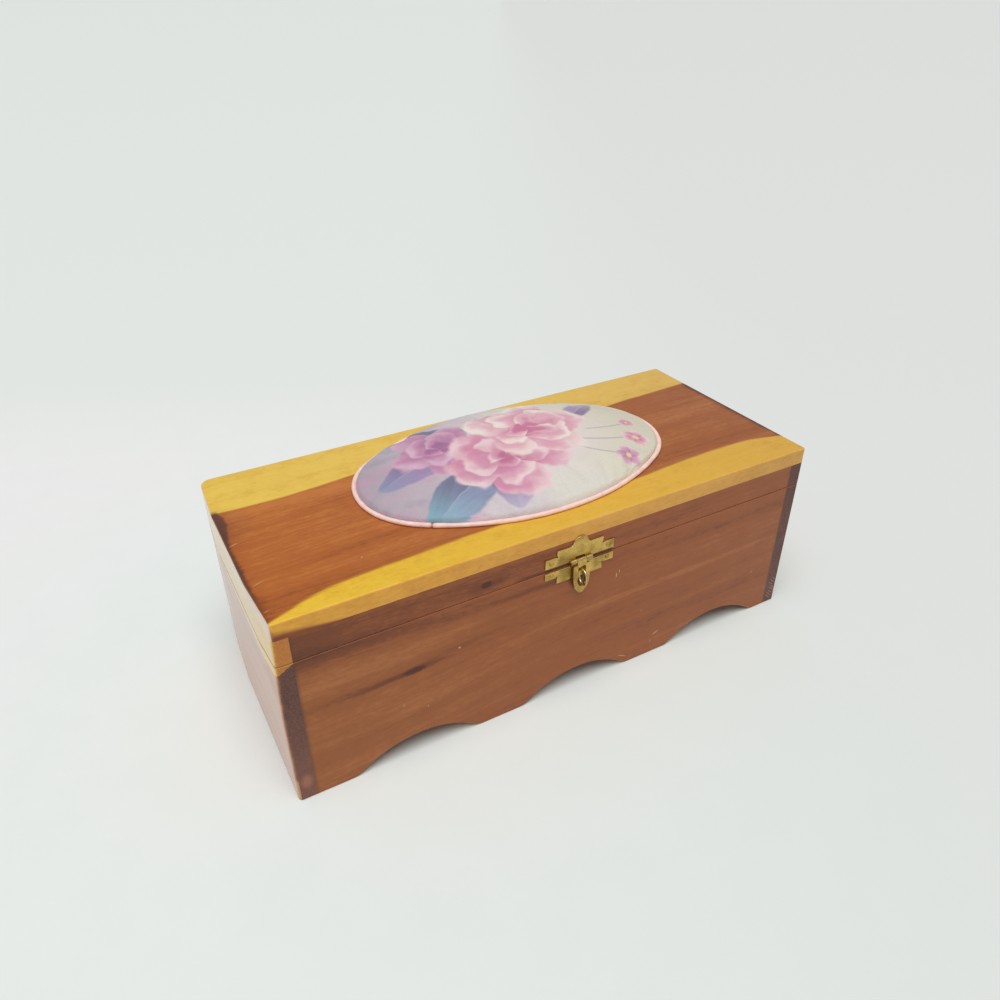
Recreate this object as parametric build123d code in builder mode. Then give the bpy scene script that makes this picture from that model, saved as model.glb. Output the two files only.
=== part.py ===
from build123d import *
from math import asin, atan2, cos, degrees, pi, radians, sin, sqrt
import os

# A keepsake box of thin cedar boards. It was made closed, then sawn open, so
# the lid's rim is the sawn-off top of the four walls. A stepped brass hasp
# closes it at the front, two small brass hinges carry the lid at the back, and
# a padded oval is glued to the lid.
#
# Millimetres. +X along the length, the front looks to -Y, +Z up, z = 0 is the
# plane of the feet.

# ---------------------------------------------------------------- sizes
LENGTH = 279.4          # 11 in
WIDTH = 120.7           # 4 3/4 in
HEIGHT = 98.4           # 3 7/8 in, without the pad
BOARD = 8.0             # 5/16 in walls
TOP_T = 8.2             # top board
SAW_Z = 77.2            # middle of the saw cut
SAW_GAP = 0.30          # what the saw cut leaves between rim and wall
CORNER_R = 1.2          # sanded upright corners
WORN_R = 5.5            # the back left corner was sanded much rounder
WORN_FRONT_R = 1.8      # and the front left one a little
EASE = 0.8              # sanded upper edges
BOTTOM_Z = 13.0         # underside of the bottom board
BOTTOM_T = 6.0

# the hasp and hinges stick out unevenly, and the origin is the middle of the
# whole object, so the walls' middle plane stands off it by MID_Y
LEAF_T = 0.8            # brass leaves
EYE_WIRE_R = 0.65
EYE_HALF_H = 3.85       # centreline of the staple's eye: half height
EYE_HALF_D = 3.05       # and half depth
EYE_GAP = 0.02          # between the eye and the leaf behind it
HASP_OUT = LEAF_T + EYE_GAP + 2 * (EYE_HALF_D + EYE_WIRE_R)   # how far the staple stands out
HINGE_OUT = 3.15        # how far the hinge knuckles stand out of the back
MID_Y = (HASP_OUT - HINGE_OUT) / 2
FRONT = -WIDTH / 2 + MID_Y
BACK = WIDTH / 2 + MID_Y
LEFT = -LENGTH / 2
RIGHT = LENGTH / 2

WALL_TOP = SAW_Z - SAW_GAP / 2
RIM_Z = SAW_Z + SAW_GAP / 2
TOP_Z = HEIGHT - TOP_T
INNER_X = LENGTH / 2 - BOARD
INNER_Y0 = FRONT + BOARD
INNER_Y1 = BACK - BOARD

# The left end is hand-sanded: its front edge leans in towards the top, and it
# runs in a little towards the worn back corner. Both are flat cuts so slight
# that they show only in the outline.
LEAN = Plane(origin=(LEFT, FRONT, 45.0), z_dir=(1.0, 0.06, -0.0344))
TAPER = Plane(origin=(LEFT, BACK - 35.0, 0.0), z_dir=(1.0, -0.057, 0.0))

# three arches in the lower edge, their middles measured along the front
ARCH_X = [-82.2, 3.5, 91.3]
ARCH_H = 11.2
ARCH_R = 46.7
FOOT_R = 8.0            # the arches run into the feet on this radius

# ---------------------------------------------------------------- brass
NAIL_R = 0.6
NAIL_LEN = 6.8          # under the head
HEAD_R = 1.1
HEAD_H = 0.45

HASP_X = 1.2            # middle of the hasp
HASP_AXIS_Y = FRONT - 1.4
HASP_AXIS_Z = 79.2
HASP_BARREL_R = 1.2
HASP_PIN_R = 0.5
HASP_EAR = (2.6, 5.8)   # ears, from the middle
HASP_BARREL_HALF = 2.4  # the strap's own barrel
STRAP_T = 0.7
EYE_X = HASP_X - 0.8    # the staple was driven in a little off the middle
EYE_Z = 71.7
EYE_Y = FRONT - (HASP_OUT - EYE_HALF_D - EYE_WIRE_R)
SHANK_R = 0.7

HINGE_X = 84.0
HINGE_R = 1.5
HINGE_PIN_R = 0.75
HINGE_Y = BACK + HINGE_OUT - HINGE_R
HINGE_Z = SAW_Z
HINGE_HALF = 12.0       # half the hinge's length
HINGE_MID = 4.0         # half the middle knuckle
HINGE_PLAY = 0.2        # between neighbouring knuckles

# ---------------------------------------------------------------- pad
PAD_X = 3.2
PAD_Y = MID_Y + 2.95
PIPE_R = 1.25
PAD_A = 82.6 - PIPE_R   # centreline of the piping: half length
PAD_B = 52.6 - PIPE_R   # and half width
PAD_END_R = 38.0        # the oval is four arcs: the ends' radius
CARD_T = 1.5
PAD_H = 10.8            # crown of the pad above the lid


def front_plane(y):
    """Upright plane facing the front, its local x = X and local y = Z."""
    return Plane.XZ.offset(-y)


def oval(inset):
    """Four tangent arcs, a fixed distance inside the piping's centreline."""
    a, b, r1 = PAD_A, PAD_B, PAD_END_R
    r2 = (a * a - 2 * a * r1 + b * b) / (2 * (b - r1))
    c1, c2 = a - r1, r2 - b
    turn = degrees(atan2(c2, c1))
    CenterArc((PAD_X + c1, PAD_Y), r1 - inset, -turn, 2 * turn)
    CenterArc((PAD_X, PAD_Y - c2), r2 - inset, turn, 180 - 2 * turn)
    CenterArc((PAD_X - c1, PAD_Y), r1 - inset, 180 - turn, 2 * turn)
    CenterArc((PAD_X, PAD_Y + c2), r2 - inset, 180 + turn, 180 - 2 * turn)


made = {}


def keep(builder, name):
    builder.part.label = name
    made[name] = builder.part


# ================================================================ box
# The front and back boards stand between the ends; the lower edge is three
# arches that leave four feet.
def arched_board(y_far):
    """Profile of an arched wall, drawn on its far face."""
    with Locations((0, WALL_TOP / 2)):
        Rectangle(2 * INNER_X, WALL_TOP)
    with Locations(*[(x, ARCH_H - ARCH_R) for x in ARCH_X]):
        Circle(ARCH_R, mode=Mode.SUBTRACT)


HASP_BOX_NAILS = [(HASP_X - 15.2, 75.0), (HASP_X + 15.2, 75.0)]
HASP_LID_NAILS = [(HASP_X - 15.4, 81.7), (HASP_X + 15.4, 81.7)]
HINGE_BOX_NAILS = []
HINGE_LID_NAILS = []
for s in (-1, 1):
    HINGE_BOX_NAILS += [(s * HINGE_X - 9.6, 73.2), (s * HINGE_X + 9.6, 73.2), (s * HINGE_X, 69.4)]
    HINGE_LID_NAILS += [(s * HINGE_X - 9.6, 81.2), (s * HINGE_X + 9.6, 81.2), (s * HINGE_X, 85.0)]
WOOD_BITE = NAIL_LEN - LEAF_T

with BuildPart() as front_panel:
    with BuildSketch(front_plane(INNER_Y0)) as sk:
        arched_board(INNER_Y0)
        corners = [v for v in sk.vertices() if abs(v.Y) < 1e-6 and abs(v.X) < INNER_X - 1]
        fillet(corners, FOOT_R)
    extrude(amount=BOARD)
    # the lower edge is eased where it was sawn
    outline = front_panel.faces().sort_by(Axis.Y)[0].outer_wire().edges()
    chamfer([e for e in outline if e.center().Z < ARCH_H + 1], 0.35)
    # nail holes and the staple's hole
    with BuildSketch(front_plane(FRONT)):
        with Locations(*HASP_BOX_NAILS):
            Circle(NAIL_R)
    extrude(amount=-WOOD_BITE, mode=Mode.SUBTRACT)
    with BuildSketch(front_plane(FRONT)):
        with Locations((EYE_X, EYE_Z)):
            Circle(SHANK_R)
    extrude(amount=-5.0, mode=Mode.SUBTRACT)
    top_edges = front_panel.edges().filter_by(Axis.X).group_by(Axis.Z)[-1]
    chamfer(top_edges.sort_by(Axis.Y)[0], 0.25)
keep(front_panel, "front_panel")

with BuildPart() as back_panel:
    with BuildSketch(front_plane(BACK)) as sk:
        arched_board(BACK)
        corners = [v for v in sk.vertices() if abs(v.Y) < 1e-6 and abs(v.X) < INNER_X - 1]
        fillet(corners, FOOT_R)
    extrude(amount=BOARD)
    outline = back_panel.faces().sort_by(Axis.Y)[-1].outer_wire().edges()
    chamfer([e for e in outline if e.center().Z < ARCH_H + 1], 0.35)
    with BuildSketch(front_plane(BACK)):
        with Locations(*HINGE_BOX_NAILS):
            Circle(NAIL_R)
    extrude(amount=WOOD_BITE, mode=Mode.SUBTRACT)
    top_edges = back_panel.edges().filter_by(Axis.X).group_by(Axis.Z)[-1]
    chamfer(top_edges.sort_by(Axis.Y)[-1], 0.25)
keep(back_panel, "back_panel")

def upright(edges, y):
    """The upright edges at the outer left corner whose y is given."""
    return [e for e in edges if abs(e.center().Y - y) < 0.05 and e.center().X < LEFT + 4
            and abs((e % 0.5).Z) > 0.9]


def outer_left(edges):
    """The edges of an end face that follow the left end's outside."""
    return [e for e in edges if e.center().X < LEFT + 2.6 and FRONT + 0.1 < e.center().Y < BACK - 0.1
            and e.length > 2]


with BuildPart() as left_end_panel:
    with Locations((LEFT + BOARD / 2, MID_Y, 0)):
        Box(BOARD, WIDTH, WALL_TOP, align=(Align.CENTER, Align.CENTER, Align.MIN))
    split(bisect_by=LEAN, keep=Keep.TOP)
    split(bisect_by=TAPER, keep=Keep.TOP)
    fillet(upright(left_end_panel.edges(), BACK), WORN_R)
    fillet(upright(left_end_panel.edges(), FRONT), WORN_FRONT_R)
    chamfer(outer_left(left_end_panel.faces().sort_by(Axis.Z)[0].edges()), 0.4)
    chamfer(outer_left(left_end_panel.faces().sort_by(Axis.Z)[-1].edges()), 0.25)
keep(left_end_panel, "left_end_panel")

with BuildPart() as right_end_panel:
    with Locations((RIGHT - BOARD / 2, MID_Y, 0)):
        Box(BOARD, WIDTH, WALL_TOP, align=(Align.CENTER, Align.CENTER, Align.MIN))
    fillet(right_end_panel.edges().filter_by(Axis.Z).group_by(Axis.X)[-1], CORNER_R)
    chamfer(right_end_panel.faces().sort_by(Axis.Z)[0].edges().filter_by(Axis.Y).sort_by(Axis.X)[-1], 0.4)
    chamfer(right_end_panel.faces().sort_by(Axis.Z)[-1].edges().filter_by(Axis.Y).sort_by(Axis.X)[-1], 0.25)
keep(right_end_panel, "right_end_panel")

with BuildPart() as bottom_board:
    with Locations((0, MID_Y, BOTTOM_Z)):
        Box(2 * INNER_X, WIDTH - 2 * BOARD, BOTTOM_T, align=(Align.CENTER, Align.CENTER, Align.MIN))
keep(bottom_board, "bottom_board")

# ================================================================ lid
with BuildPart() as top_board:
    with Locations((0, MID_Y, TOP_Z)):
        Box(LENGTH, WIDTH, TOP_T, align=(Align.CENTER, Align.CENTER, Align.MIN))
    split(bisect_by=LEAN, keep=Keep.TOP)
    split(bisect_by=TAPER, keep=Keep.TOP)
    fillet(upright(top_board.edges(), BACK), WORN_R)
    fillet(upright(top_board.edges(), FRONT), WORN_FRONT_R)
    fillet(top_board.edges().filter_by(Axis.Z).group_by(Axis.X)[-1], CORNER_R)
    fillet(top_board.faces().sort_by(Axis.Z)[-1].edges(), EASE)
keep(top_board, "top_board")

with BuildPart() as lid_front_rail:
    with BuildSketch(front_plane(INNER_Y0)):
        with Locations((0, (RIM_Z + TOP_Z) / 2)):
            Rectangle(2 * INNER_X, TOP_Z - RIM_Z)
    extrude(amount=BOARD)
    with BuildSketch(front_plane(FRONT)):
        with Locations(*HASP_LID_NAILS):
            Circle(NAIL_R)
    extrude(amount=-WOOD_BITE, mode=Mode.SUBTRACT)
    low = lid_front_rail.edges().filter_by(Axis.X).group_by(Axis.Z)[0]
    chamfer(low.sort_by(Axis.Y)[0], 0.25)
keep(lid_front_rail, "lid_front_rail")

with BuildPart() as lid_back_rail:
    with BuildSketch(front_plane(BACK)):
        with Locations((0, (RIM_Z + TOP_Z) / 2)):
            Rectangle(2 * INNER_X, TOP_Z - RIM_Z)
    extrude(amount=BOARD)
    with BuildSketch(front_plane(BACK)):
        with Locations(*HINGE_LID_NAILS):
            Circle(NAIL_R)
    extrude(amount=WOOD_BITE, mode=Mode.SUBTRACT)
    low = lid_back_rail.edges().filter_by(Axis.X).group_by(Axis.Z)[0]
    chamfer(low.sort_by(Axis.Y)[-1], 0.25)
keep(lid_back_rail, "lid_back_rail")

with BuildPart() as lid_left_rail:
    with Locations((LEFT + BOARD / 2, MID_Y, RIM_Z)):
        Box(BOARD, WIDTH, TOP_Z - RIM_Z, align=(Align.CENTER, Align.CENTER, Align.MIN))
    split(bisect_by=LEAN, keep=Keep.TOP)
    split(bisect_by=TAPER, keep=Keep.TOP)
    fillet(upright(lid_left_rail.edges(), BACK), WORN_R)
    fillet(upright(lid_left_rail.edges(), FRONT), WORN_FRONT_R)
    chamfer(outer_left(lid_left_rail.faces().sort_by(Axis.Z)[0].edges()), 0.25)
keep(lid_left_rail, "lid_left_rail")

with BuildPart() as lid_right_rail:
    with Locations((RIGHT - BOARD / 2, MID_Y, RIM_Z)):
        Box(BOARD, WIDTH, TOP_Z - RIM_Z, align=(Align.CENTER, Align.CENTER, Align.MIN))
    fillet(lid_right_rail.edges().filter_by(Axis.Z).group_by(Axis.X)[-1], CORNER_R)
    chamfer(lid_right_rail.faces().sort_by(Axis.Z)[0].edges().filter_by(Axis.Y).sort_by(Axis.X)[-1], 0.25)
keep(lid_right_rail, "lid_right_rail")

# ================================================================ pad
with BuildPart() as pad_card:
    with BuildSketch(Plane.XY.offset(HEIGHT)):
        with BuildLine():
            oval(PIPE_R + 0.75)
        make_face()
    extrude(amount=CARD_T)
keep(pad_card, "pad_card")

# crowned padding: steep at its edge, then rising slowly to the crown
with BuildPart() as pad_cushion:
    for inset, h in ((1.6, CARD_T), (2.2, 3.7), (3.8, 5.3), (6.5, 6.7), (10.5, 8.1), (16.0, 9.4), (22.0, 10.3), (28.0, PAD_H)):
        with BuildSketch(Plane.XY.offset(HEIGHT + h)):
            with BuildLine():
                oval(inset)
            make_face()
    loft(ruled=True)
keep(pad_cushion, "pad_cushion")

# the piping: a round cord along the oval, pressed a little flat on the lid
PIPE_Z = HEIGHT + PIPE_R - 0.08
with BuildPart() as pad_piping:
    with BuildLine(Plane.XY.offset(PIPE_Z)) as pipe_path:
        oval(0.0)
    start = pipe_path.line @ 0
    with BuildSketch(Plane(origin=start, z_dir=pipe_path.line % 0)):
        Circle(PIPE_R)
    sweep(path=pipe_path.line)
    with BuildSketch(Plane.XY.offset(HEIGHT)):
        Rectangle(LENGTH, WIDTH)
    extrude(amount=-1.0, mode=Mode.SUBTRACT)
keep(pad_piping, "pad_piping")


# ================================================================ hasp
def stepped_leaf(cx, half, step_half, z_edge, z_wing, z_step, crest=None):
    """Outline of a stepped leaf. Its straight edge is at z_edge, the wings end
    at z_wing and the middle step at z_step. A crest adds a round top."""
    Polygon(
        (cx - half, z_edge), (cx - half, z_wing), (cx - step_half, z_wing),
        (cx - step_half, z_step), (cx + step_half, z_step), (cx + step_half, z_wing),
        (cx + half, z_wing), (cx + half, z_edge), align=None)
    if crest:
        crest_r, crest_z = crest
        with Locations((cx, crest_z)):
            Circle(crest_r)
    # small reliefs in the inner corners, as the press leaves them
    with Locations((cx - step_half, z_wing), (cx + step_half, z_wing)):
        Circle(0.45, mode=Mode.SUBTRACT)


with BuildPart() as hasp_upper_leaf:
    with BuildSketch(front_plane(FRONT)) as leaf_sk:
        stepped_leaf(HASP_X, 18.5, 12.4, 79.3, 84.2, 87.4, crest=(4.2, 87.5))
        # the crest runs out into the step on hollow curves
        fillet([v for v in leaf_sk.vertices() if abs(v.Y - 87.4) < 0.01 and abs(v.X - HASP_X) < 6], 1.5)
        # room for the strap's barrel between the ears
        with Locations((HASP_X, 79.3 + 0.9)):
            Rectangle(2 * HASP_EAR[0], 1.8 + 0.0, mode=Mode.SUBTRACT)
        with Locations(*HASP_LID_NAILS):
            Circle(NAIL_R + 0.03, mode=Mode.SUBTRACT)
    extrude(amount=LEAF_T)
    face = hasp_upper_leaf.faces().sort_by(Axis.Y)[0]
    chamfer(face.outer_wire().edges(), 0.15)
    for s in (-1, 1):
        x0 = HASP_X + (HASP_EAR[0] if s > 0 else -HASP_EAR[1])
        with BuildSketch(Plane.YZ.offset(x0)):
            with Locations((HASP_AXIS_Y, HASP_AXIS_Z)):
                Circle(HASP_BARREL_R)
        extrude(amount=HASP_EAR[1] - HASP_EAR[0])
    with BuildSketch(Plane.YZ.offset(HASP_X - 7)):
        with Locations((HASP_AXIS_Y, HASP_AXIS_Z)):
            Circle(HASP_PIN_R + 0.01)
    extrude(amount=14, mode=Mode.SUBTRACT)
keep(hasp_upper_leaf, "hasp_upper_leaf")

with BuildPart() as hasp_pin:
    with BuildSketch(Plane.YZ.offset(HASP_X - HASP_EAR[1] - 0.1)):
        with Locations((HASP_AXIS_Y, HASP_AXIS_Z)):
            Circle(HASP_PIN_R)
    extrude(amount=2 * HASP_EAR[1] + 0.2)
keep(hasp_pin, "hasp_pin")

with BuildPart() as hasp_lower_leaf:
    with BuildSketch(front_plane(FRONT)):
        stepped_leaf(HASP_X, 18.5, 12.3, 76.85, 73.0, 69.6)
        with Locations(*HASP_BOX_NAILS):
            Circle(NAIL_R + 0.03, mode=Mode.SUBTRACT)
        with Locations((EYE_X, EYE_Z)):
            Circle(SHANK_R + 0.02, mode=Mode.SUBTRACT)
    extrude(amount=LEAF_T)
    face = hasp_lower_leaf.faces().sort_by(Axis.Y)[0]
    chamfer(face.outer_wire().edges(), 0.15)
keep(hasp_lower_leaf, "hasp_lower_leaf")

# the staple: an oval eye of wire, upright, on a shank that goes into the wood
with BuildPart() as hasp_staple:
    half = EYE_HALF_H - EYE_HALF_D
    with BuildLine(Plane.YZ.offset(EYE_X)) as eye_path:
        Line((EYE_Y - EYE_HALF_D, EYE_Z - half), (EYE_Y - EYE_HALF_D, EYE_Z + half))
        CenterArc((EYE_Y, EYE_Z + half), EYE_HALF_D, 180, -180)
        Line((EYE_Y + EYE_HALF_D, EYE_Z + half), (EYE_Y + EYE_HALF_D, EYE_Z - half))
        CenterArc((EYE_Y, EYE_Z - half), EYE_HALF_D, 0, -180)
    with BuildSketch(Plane(origin=(EYE_X, EYE_Y - EYE_HALF_D, EYE_Z - half), z_dir=(0, 0, 1))):
        Circle(EYE_WIRE_R)
    sweep(path=eye_path.line)
    with BuildSketch(front_plane(EYE_Y + EYE_HALF_D)):
        with Locations((EYE_X, EYE_Z)):
            Circle(SHANK_R)
    extrude(amount=-(FRONT + 5.0 - (EYE_Y + EYE_HALF_D)))
keep(hasp_staple, "hasp_staple")

# the strap: a slotted tongue with its own barrel between the ears
SHOULDER_Z = 77.3
STRAP_HALF = 4.45
STRAP_ROUNDS = [(63.5, 2.2), (66.6, 4.0), (69.5, STRAP_HALF)]   # z and radius, from the tip up
SLOT_HALF = 2.15
SLOT_TAPER_Z = 68.6
SLOT_TOP_Z = 76.4
SLOT_END_Z = 65.0
STRAP_Y = HASP_AXIS_Y - HASP_BARREL_R + STRAP_T     # the strap's rear face


def tongue():
    """The tongue's lower outline: three rounds and the tangents between them."""
    (z1, r1), (z2, r2), (z3, r3) = STRAP_ROUNDS
    a, b = asin((r2 - r1) / (z2 - z1)), asin((r3 - r2) / (z3 - z2))
    CenterArc((HASP_X, z1), r1, 180 + degrees(a), 180 - 2 * degrees(a))
    for s in (1, -1):
        Line((HASP_X + s * r1 * cos(a), z1 - r1 * sin(a)), (HASP_X + s * r2 * cos(a), z2 - r2 * sin(a)))
        CenterArc((HASP_X, z2), r2, -degrees(a) if s > 0 else 180 + degrees(a), s * degrees(a - b))
        Line((HASP_X + s * r2 * cos(b), z2 - r2 * sin(b)), (HASP_X + s * r3 * cos(b), z3 - r3 * sin(b)))
        CenterArc((HASP_X, z3), r3, -degrees(b) if s > 0 else 180 + degrees(b), s * degrees(b))


with BuildPart() as hasp_strap:
    with BuildSketch(front_plane(STRAP_Y)) as strap_sk:
        with BuildLine():
            tongue()
            Polyline(
                (HASP_X + STRAP_HALF, STRAP_ROUNDS[-1][0]), (HASP_X + STRAP_HALF, SHOULDER_Z),
                (HASP_X + HASP_BARREL_HALF, SHOULDER_Z), (HASP_X + HASP_BARREL_HALF, HASP_AXIS_Z),
                (HASP_X - HASP_BARREL_HALF, HASP_AXIS_Z), (HASP_X - HASP_BARREL_HALF, SHOULDER_Z),
                (HASP_X - STRAP_HALF, SHOULDER_Z), (HASP_X - STRAP_HALF, STRAP_ROUNDS[-1][0]))
        make_face()
        shoulders = [v for v in strap_sk.vertices() if abs(v.Y - SHOULDER_Z) < 1e-6 and abs(abs(v.X - HASP_X) - STRAP_HALF) < 1e-6]
        fillet(shoulders, 0.9)
    extrude(amount=STRAP_T)
    with BuildSketch(front_plane(STRAP_Y)) as slot_sk:
        with BuildLine():
            Polyline(
                (HASP_X + SLOT_HALF, SLOT_TAPER_Z), (HASP_X + SLOT_HALF, SLOT_TOP_Z),
                (HASP_X - SLOT_HALF, SLOT_TOP_Z), (HASP_X - SLOT_HALF, SLOT_TAPER_Z))
            EllipticalCenterArc((HASP_X, SLOT_TAPER_Z), SLOT_HALF, SLOT_TAPER_Z - SLOT_END_Z, 180, arc_size=180)
        make_face()
        fillet(slot_sk.vertices().group_by(Axis.Y)[-1], 0.9)
    extrude(amount=STRAP_T, mode=Mode.SUBTRACT)
    with BuildSketch(Plane.YZ.offset(HASP_X - HASP_BARREL_HALF)):
        with Locations((HASP_AXIS_Y, HASP_AXIS_Z)):
            Circle(HASP_BARREL_R)
    extrude(amount=2 * HASP_BARREL_HALF)
    with BuildSketch(Plane.YZ.offset(HASP_X - HASP_BARREL_HALF - 1)):
        with Locations((HASP_AXIS_Y, HASP_AXIS_Z)):
            Circle(HASP_PIN_R + 0.06)
    extrude(amount=2 * HASP_BARREL_HALF + 2, mode=Mode.SUBTRACT)
keep(hasp_strap, "hasp_strap")


# ================================================================ nails
# Round-headed brass nails. The heads lie on the leaf's outer face and look
# outwards: -1 is to the front, +1 to the back.
for name, points, face_y, out in (
        ("hasp_box_nails", HASP_BOX_NAILS, FRONT - LEAF_T, -1),
        ("hasp_lid_nails", HASP_LID_NAILS, FRONT - LEAF_T, -1),
        ("hinge_box_nails", HINGE_BOX_NAILS, BACK + LEAF_T, 1),
        ("hinge_lid_nails", HINGE_LID_NAILS, BACK + LEAF_T, 1)):
    with BuildPart() as nails:
        with BuildSketch(front_plane(face_y)):
            with Locations(*points):
                Circle(NAIL_R)
        extrude(amount=NAIL_LEN * out)
        with BuildSketch(front_plane(face_y)):
            with Locations(*points):
                Circle(HEAD_R)
        extrude(amount=-HEAD_H * out)
        rims = nails.edges().filter_by(GeomType.CIRCLE).group_by(Axis.Y)[0 if out < 0 else -1]
        fillet(rims, 0.38)
    keep(nails, name)

# ================================================================ hinges
# Small surface hinges in the hasp's stepped pattern, the knuckles just outside
# the back at the saw cut, so that the lid can fold right back.
for s, tag in ((-1, "left"), (1, "right")):
    cx = s * HINGE_X

    with BuildPart() as box_leaf:
        with BuildSketch(front_plane(BACK + LEAF_T)):
            stepped_leaf(cx, HINGE_HALF, 7.4, HINGE_Z, 71.4, 67.0)
            # the middle is cut away for the lid's knuckle
            with Locations((cx, HINGE_Z - 0.9)):
                Rectangle(2 * (HINGE_MID + HINGE_PLAY), 1.8, mode=Mode.SUBTRACT)
            with Locations(*[p for p in HINGE_BOX_NAILS if abs(p[0] - cx) < HINGE_HALF]):
                Circle(NAIL_R + 0.03, mode=Mode.SUBTRACT)
        extrude(amount=LEAF_T)
        for x0 in (cx - HINGE_HALF, cx + HINGE_MID + HINGE_PLAY):
            with BuildSketch(Plane.YZ.offset(x0)):
                with Locations((HINGE_Y, HINGE_Z)):
                    Circle(HINGE_R)
            extrude(amount=HINGE_HALF - HINGE_MID - HINGE_PLAY)
        with BuildSketch(Plane.YZ.offset(cx - HINGE_HALF - 1)):
            with Locations((HINGE_Y, HINGE_Z)):
                Circle(HINGE_PIN_R + 0.01)
        extrude(amount=2 * HINGE_HALF + 2, mode=Mode.SUBTRACT)
    keep(box_leaf, f"hinge_{tag}_box_leaf")

    with BuildPart() as lid_leaf:
        with BuildSketch(front_plane(BACK + LEAF_T)):
            stepped_leaf(cx, HINGE_HALF, 7.4, HINGE_Z, 83.0, 87.4)
            # the wings' lower edge stands clear of the box leaf's knuckles
            for w in (-1, 1):
                mid = (HINGE_MID + HINGE_HALF) / 2
                with Locations((cx + w * (mid + 0.5), HINGE_Z + 0.9)):
                    Rectangle(HINGE_HALF - HINGE_MID + 1.0, 1.8, mode=Mode.SUBTRACT)
            with Locations(*[p for p in HINGE_LID_NAILS if abs(p[0] - cx) < HINGE_HALF]):
                Circle(NAIL_R + 0.03, mode=Mode.SUBTRACT)
        extrude(amount=LEAF_T)
        with BuildSketch(Plane.YZ.offset(cx - HINGE_MID)):
            with Locations((HINGE_Y, HINGE_Z)):
                Circle(HINGE_R)
        extrude(amount=2 * HINGE_MID)
        with BuildSketch(Plane.YZ.offset(cx - HINGE_MID - 1)):
            with Locations((HINGE_Y, HINGE_Z)):
                Circle(HINGE_PIN_R + 0.05)
        extrude(amount=2 * HINGE_MID + 2, mode=Mode.SUBTRACT)
    keep(lid_leaf, f"hinge_{tag}_lid_leaf")

    with BuildPart() as pin:
        with BuildSketch(Plane.YZ.offset(cx - HINGE_HALF - 0.15)):
            with Locations((HINGE_Y, HINGE_Z)):
                Circle(HINGE_PIN_R)
        extrude(amount=2 * HINGE_HALF + 0.3)
    keep(pin, f"hinge_{tag}_pin")

# ================================================================ export
os.makedirs("parts", exist_ok=True)
for name, part in made.items():
    export_step(part, f"parts/{name}.step")
    box = part.bounding_box()
    print(f"{name:24s} solids {len(part.solids())} volume {part.volume:10.2f} valid {part.is_valid} "
          f"x {box.min.X:8.2f} {box.max.X:8.2f} y {box.min.Y:8.2f} {box.max.Y:8.2f} z {box.min.Z:7.2f} {box.max.Z:7.2f}")
print("front face", FRONT, "back face", BACK, "middle", MID_Y)
print("hasp axis", HASP_AXIS_Y, HASP_AXIS_Z, "hinge axis", HINGE_Y, HINGE_Z)
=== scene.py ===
import math

import bpy
import numpy as np
from mathutils import Matrix, Vector


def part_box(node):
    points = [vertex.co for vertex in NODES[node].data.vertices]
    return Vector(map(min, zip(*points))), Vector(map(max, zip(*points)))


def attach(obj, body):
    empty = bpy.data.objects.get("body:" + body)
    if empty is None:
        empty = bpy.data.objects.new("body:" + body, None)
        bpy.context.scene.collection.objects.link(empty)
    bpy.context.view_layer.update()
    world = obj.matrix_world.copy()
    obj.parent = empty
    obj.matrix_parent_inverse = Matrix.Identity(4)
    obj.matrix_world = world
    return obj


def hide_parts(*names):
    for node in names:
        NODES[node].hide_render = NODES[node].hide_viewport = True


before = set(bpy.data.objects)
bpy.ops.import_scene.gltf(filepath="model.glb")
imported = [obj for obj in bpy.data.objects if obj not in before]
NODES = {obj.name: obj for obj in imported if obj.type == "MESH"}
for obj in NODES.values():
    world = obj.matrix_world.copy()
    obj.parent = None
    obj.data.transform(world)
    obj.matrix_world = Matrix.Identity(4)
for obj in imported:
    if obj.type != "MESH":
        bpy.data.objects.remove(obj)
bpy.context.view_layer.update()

scene = bpy.context.scene
scene.view_settings.view_transform = "Standard"
scene.view_settings.look = "None"

# ---------------------------------------------------------------- the box's measures, in mm
LEFT, RIGHT = -139.7, 139.7
FRONT = 1000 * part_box("front_panel")[0].y
BACK = 1000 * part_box("back_panel")[1].y
TOP = 98.4
TOP_BOARD_Z = 90.2
BOARD = 8.0
SAW = 77.2
PAD_C = (3.2, (FRONT + BACK) / 2 + 2.95)
CORD_R = 1.10                          # the piping under its cloth
PAD_A, PAD_B = 81.35, 51.35          # centreline of the piping
PAD_END_R = 38.0


def lin(r, g, b):
    """A display colour, 0 to 255, as the linear colour that a shader takes."""
    out = []
    for c in (r, g, b):
        c = c / 255
        out.append(c / 12.92 if c <= 0.04045 else ((c + 0.055) / 1.055) ** 2.4)
    return (*out, 1.0)


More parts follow.
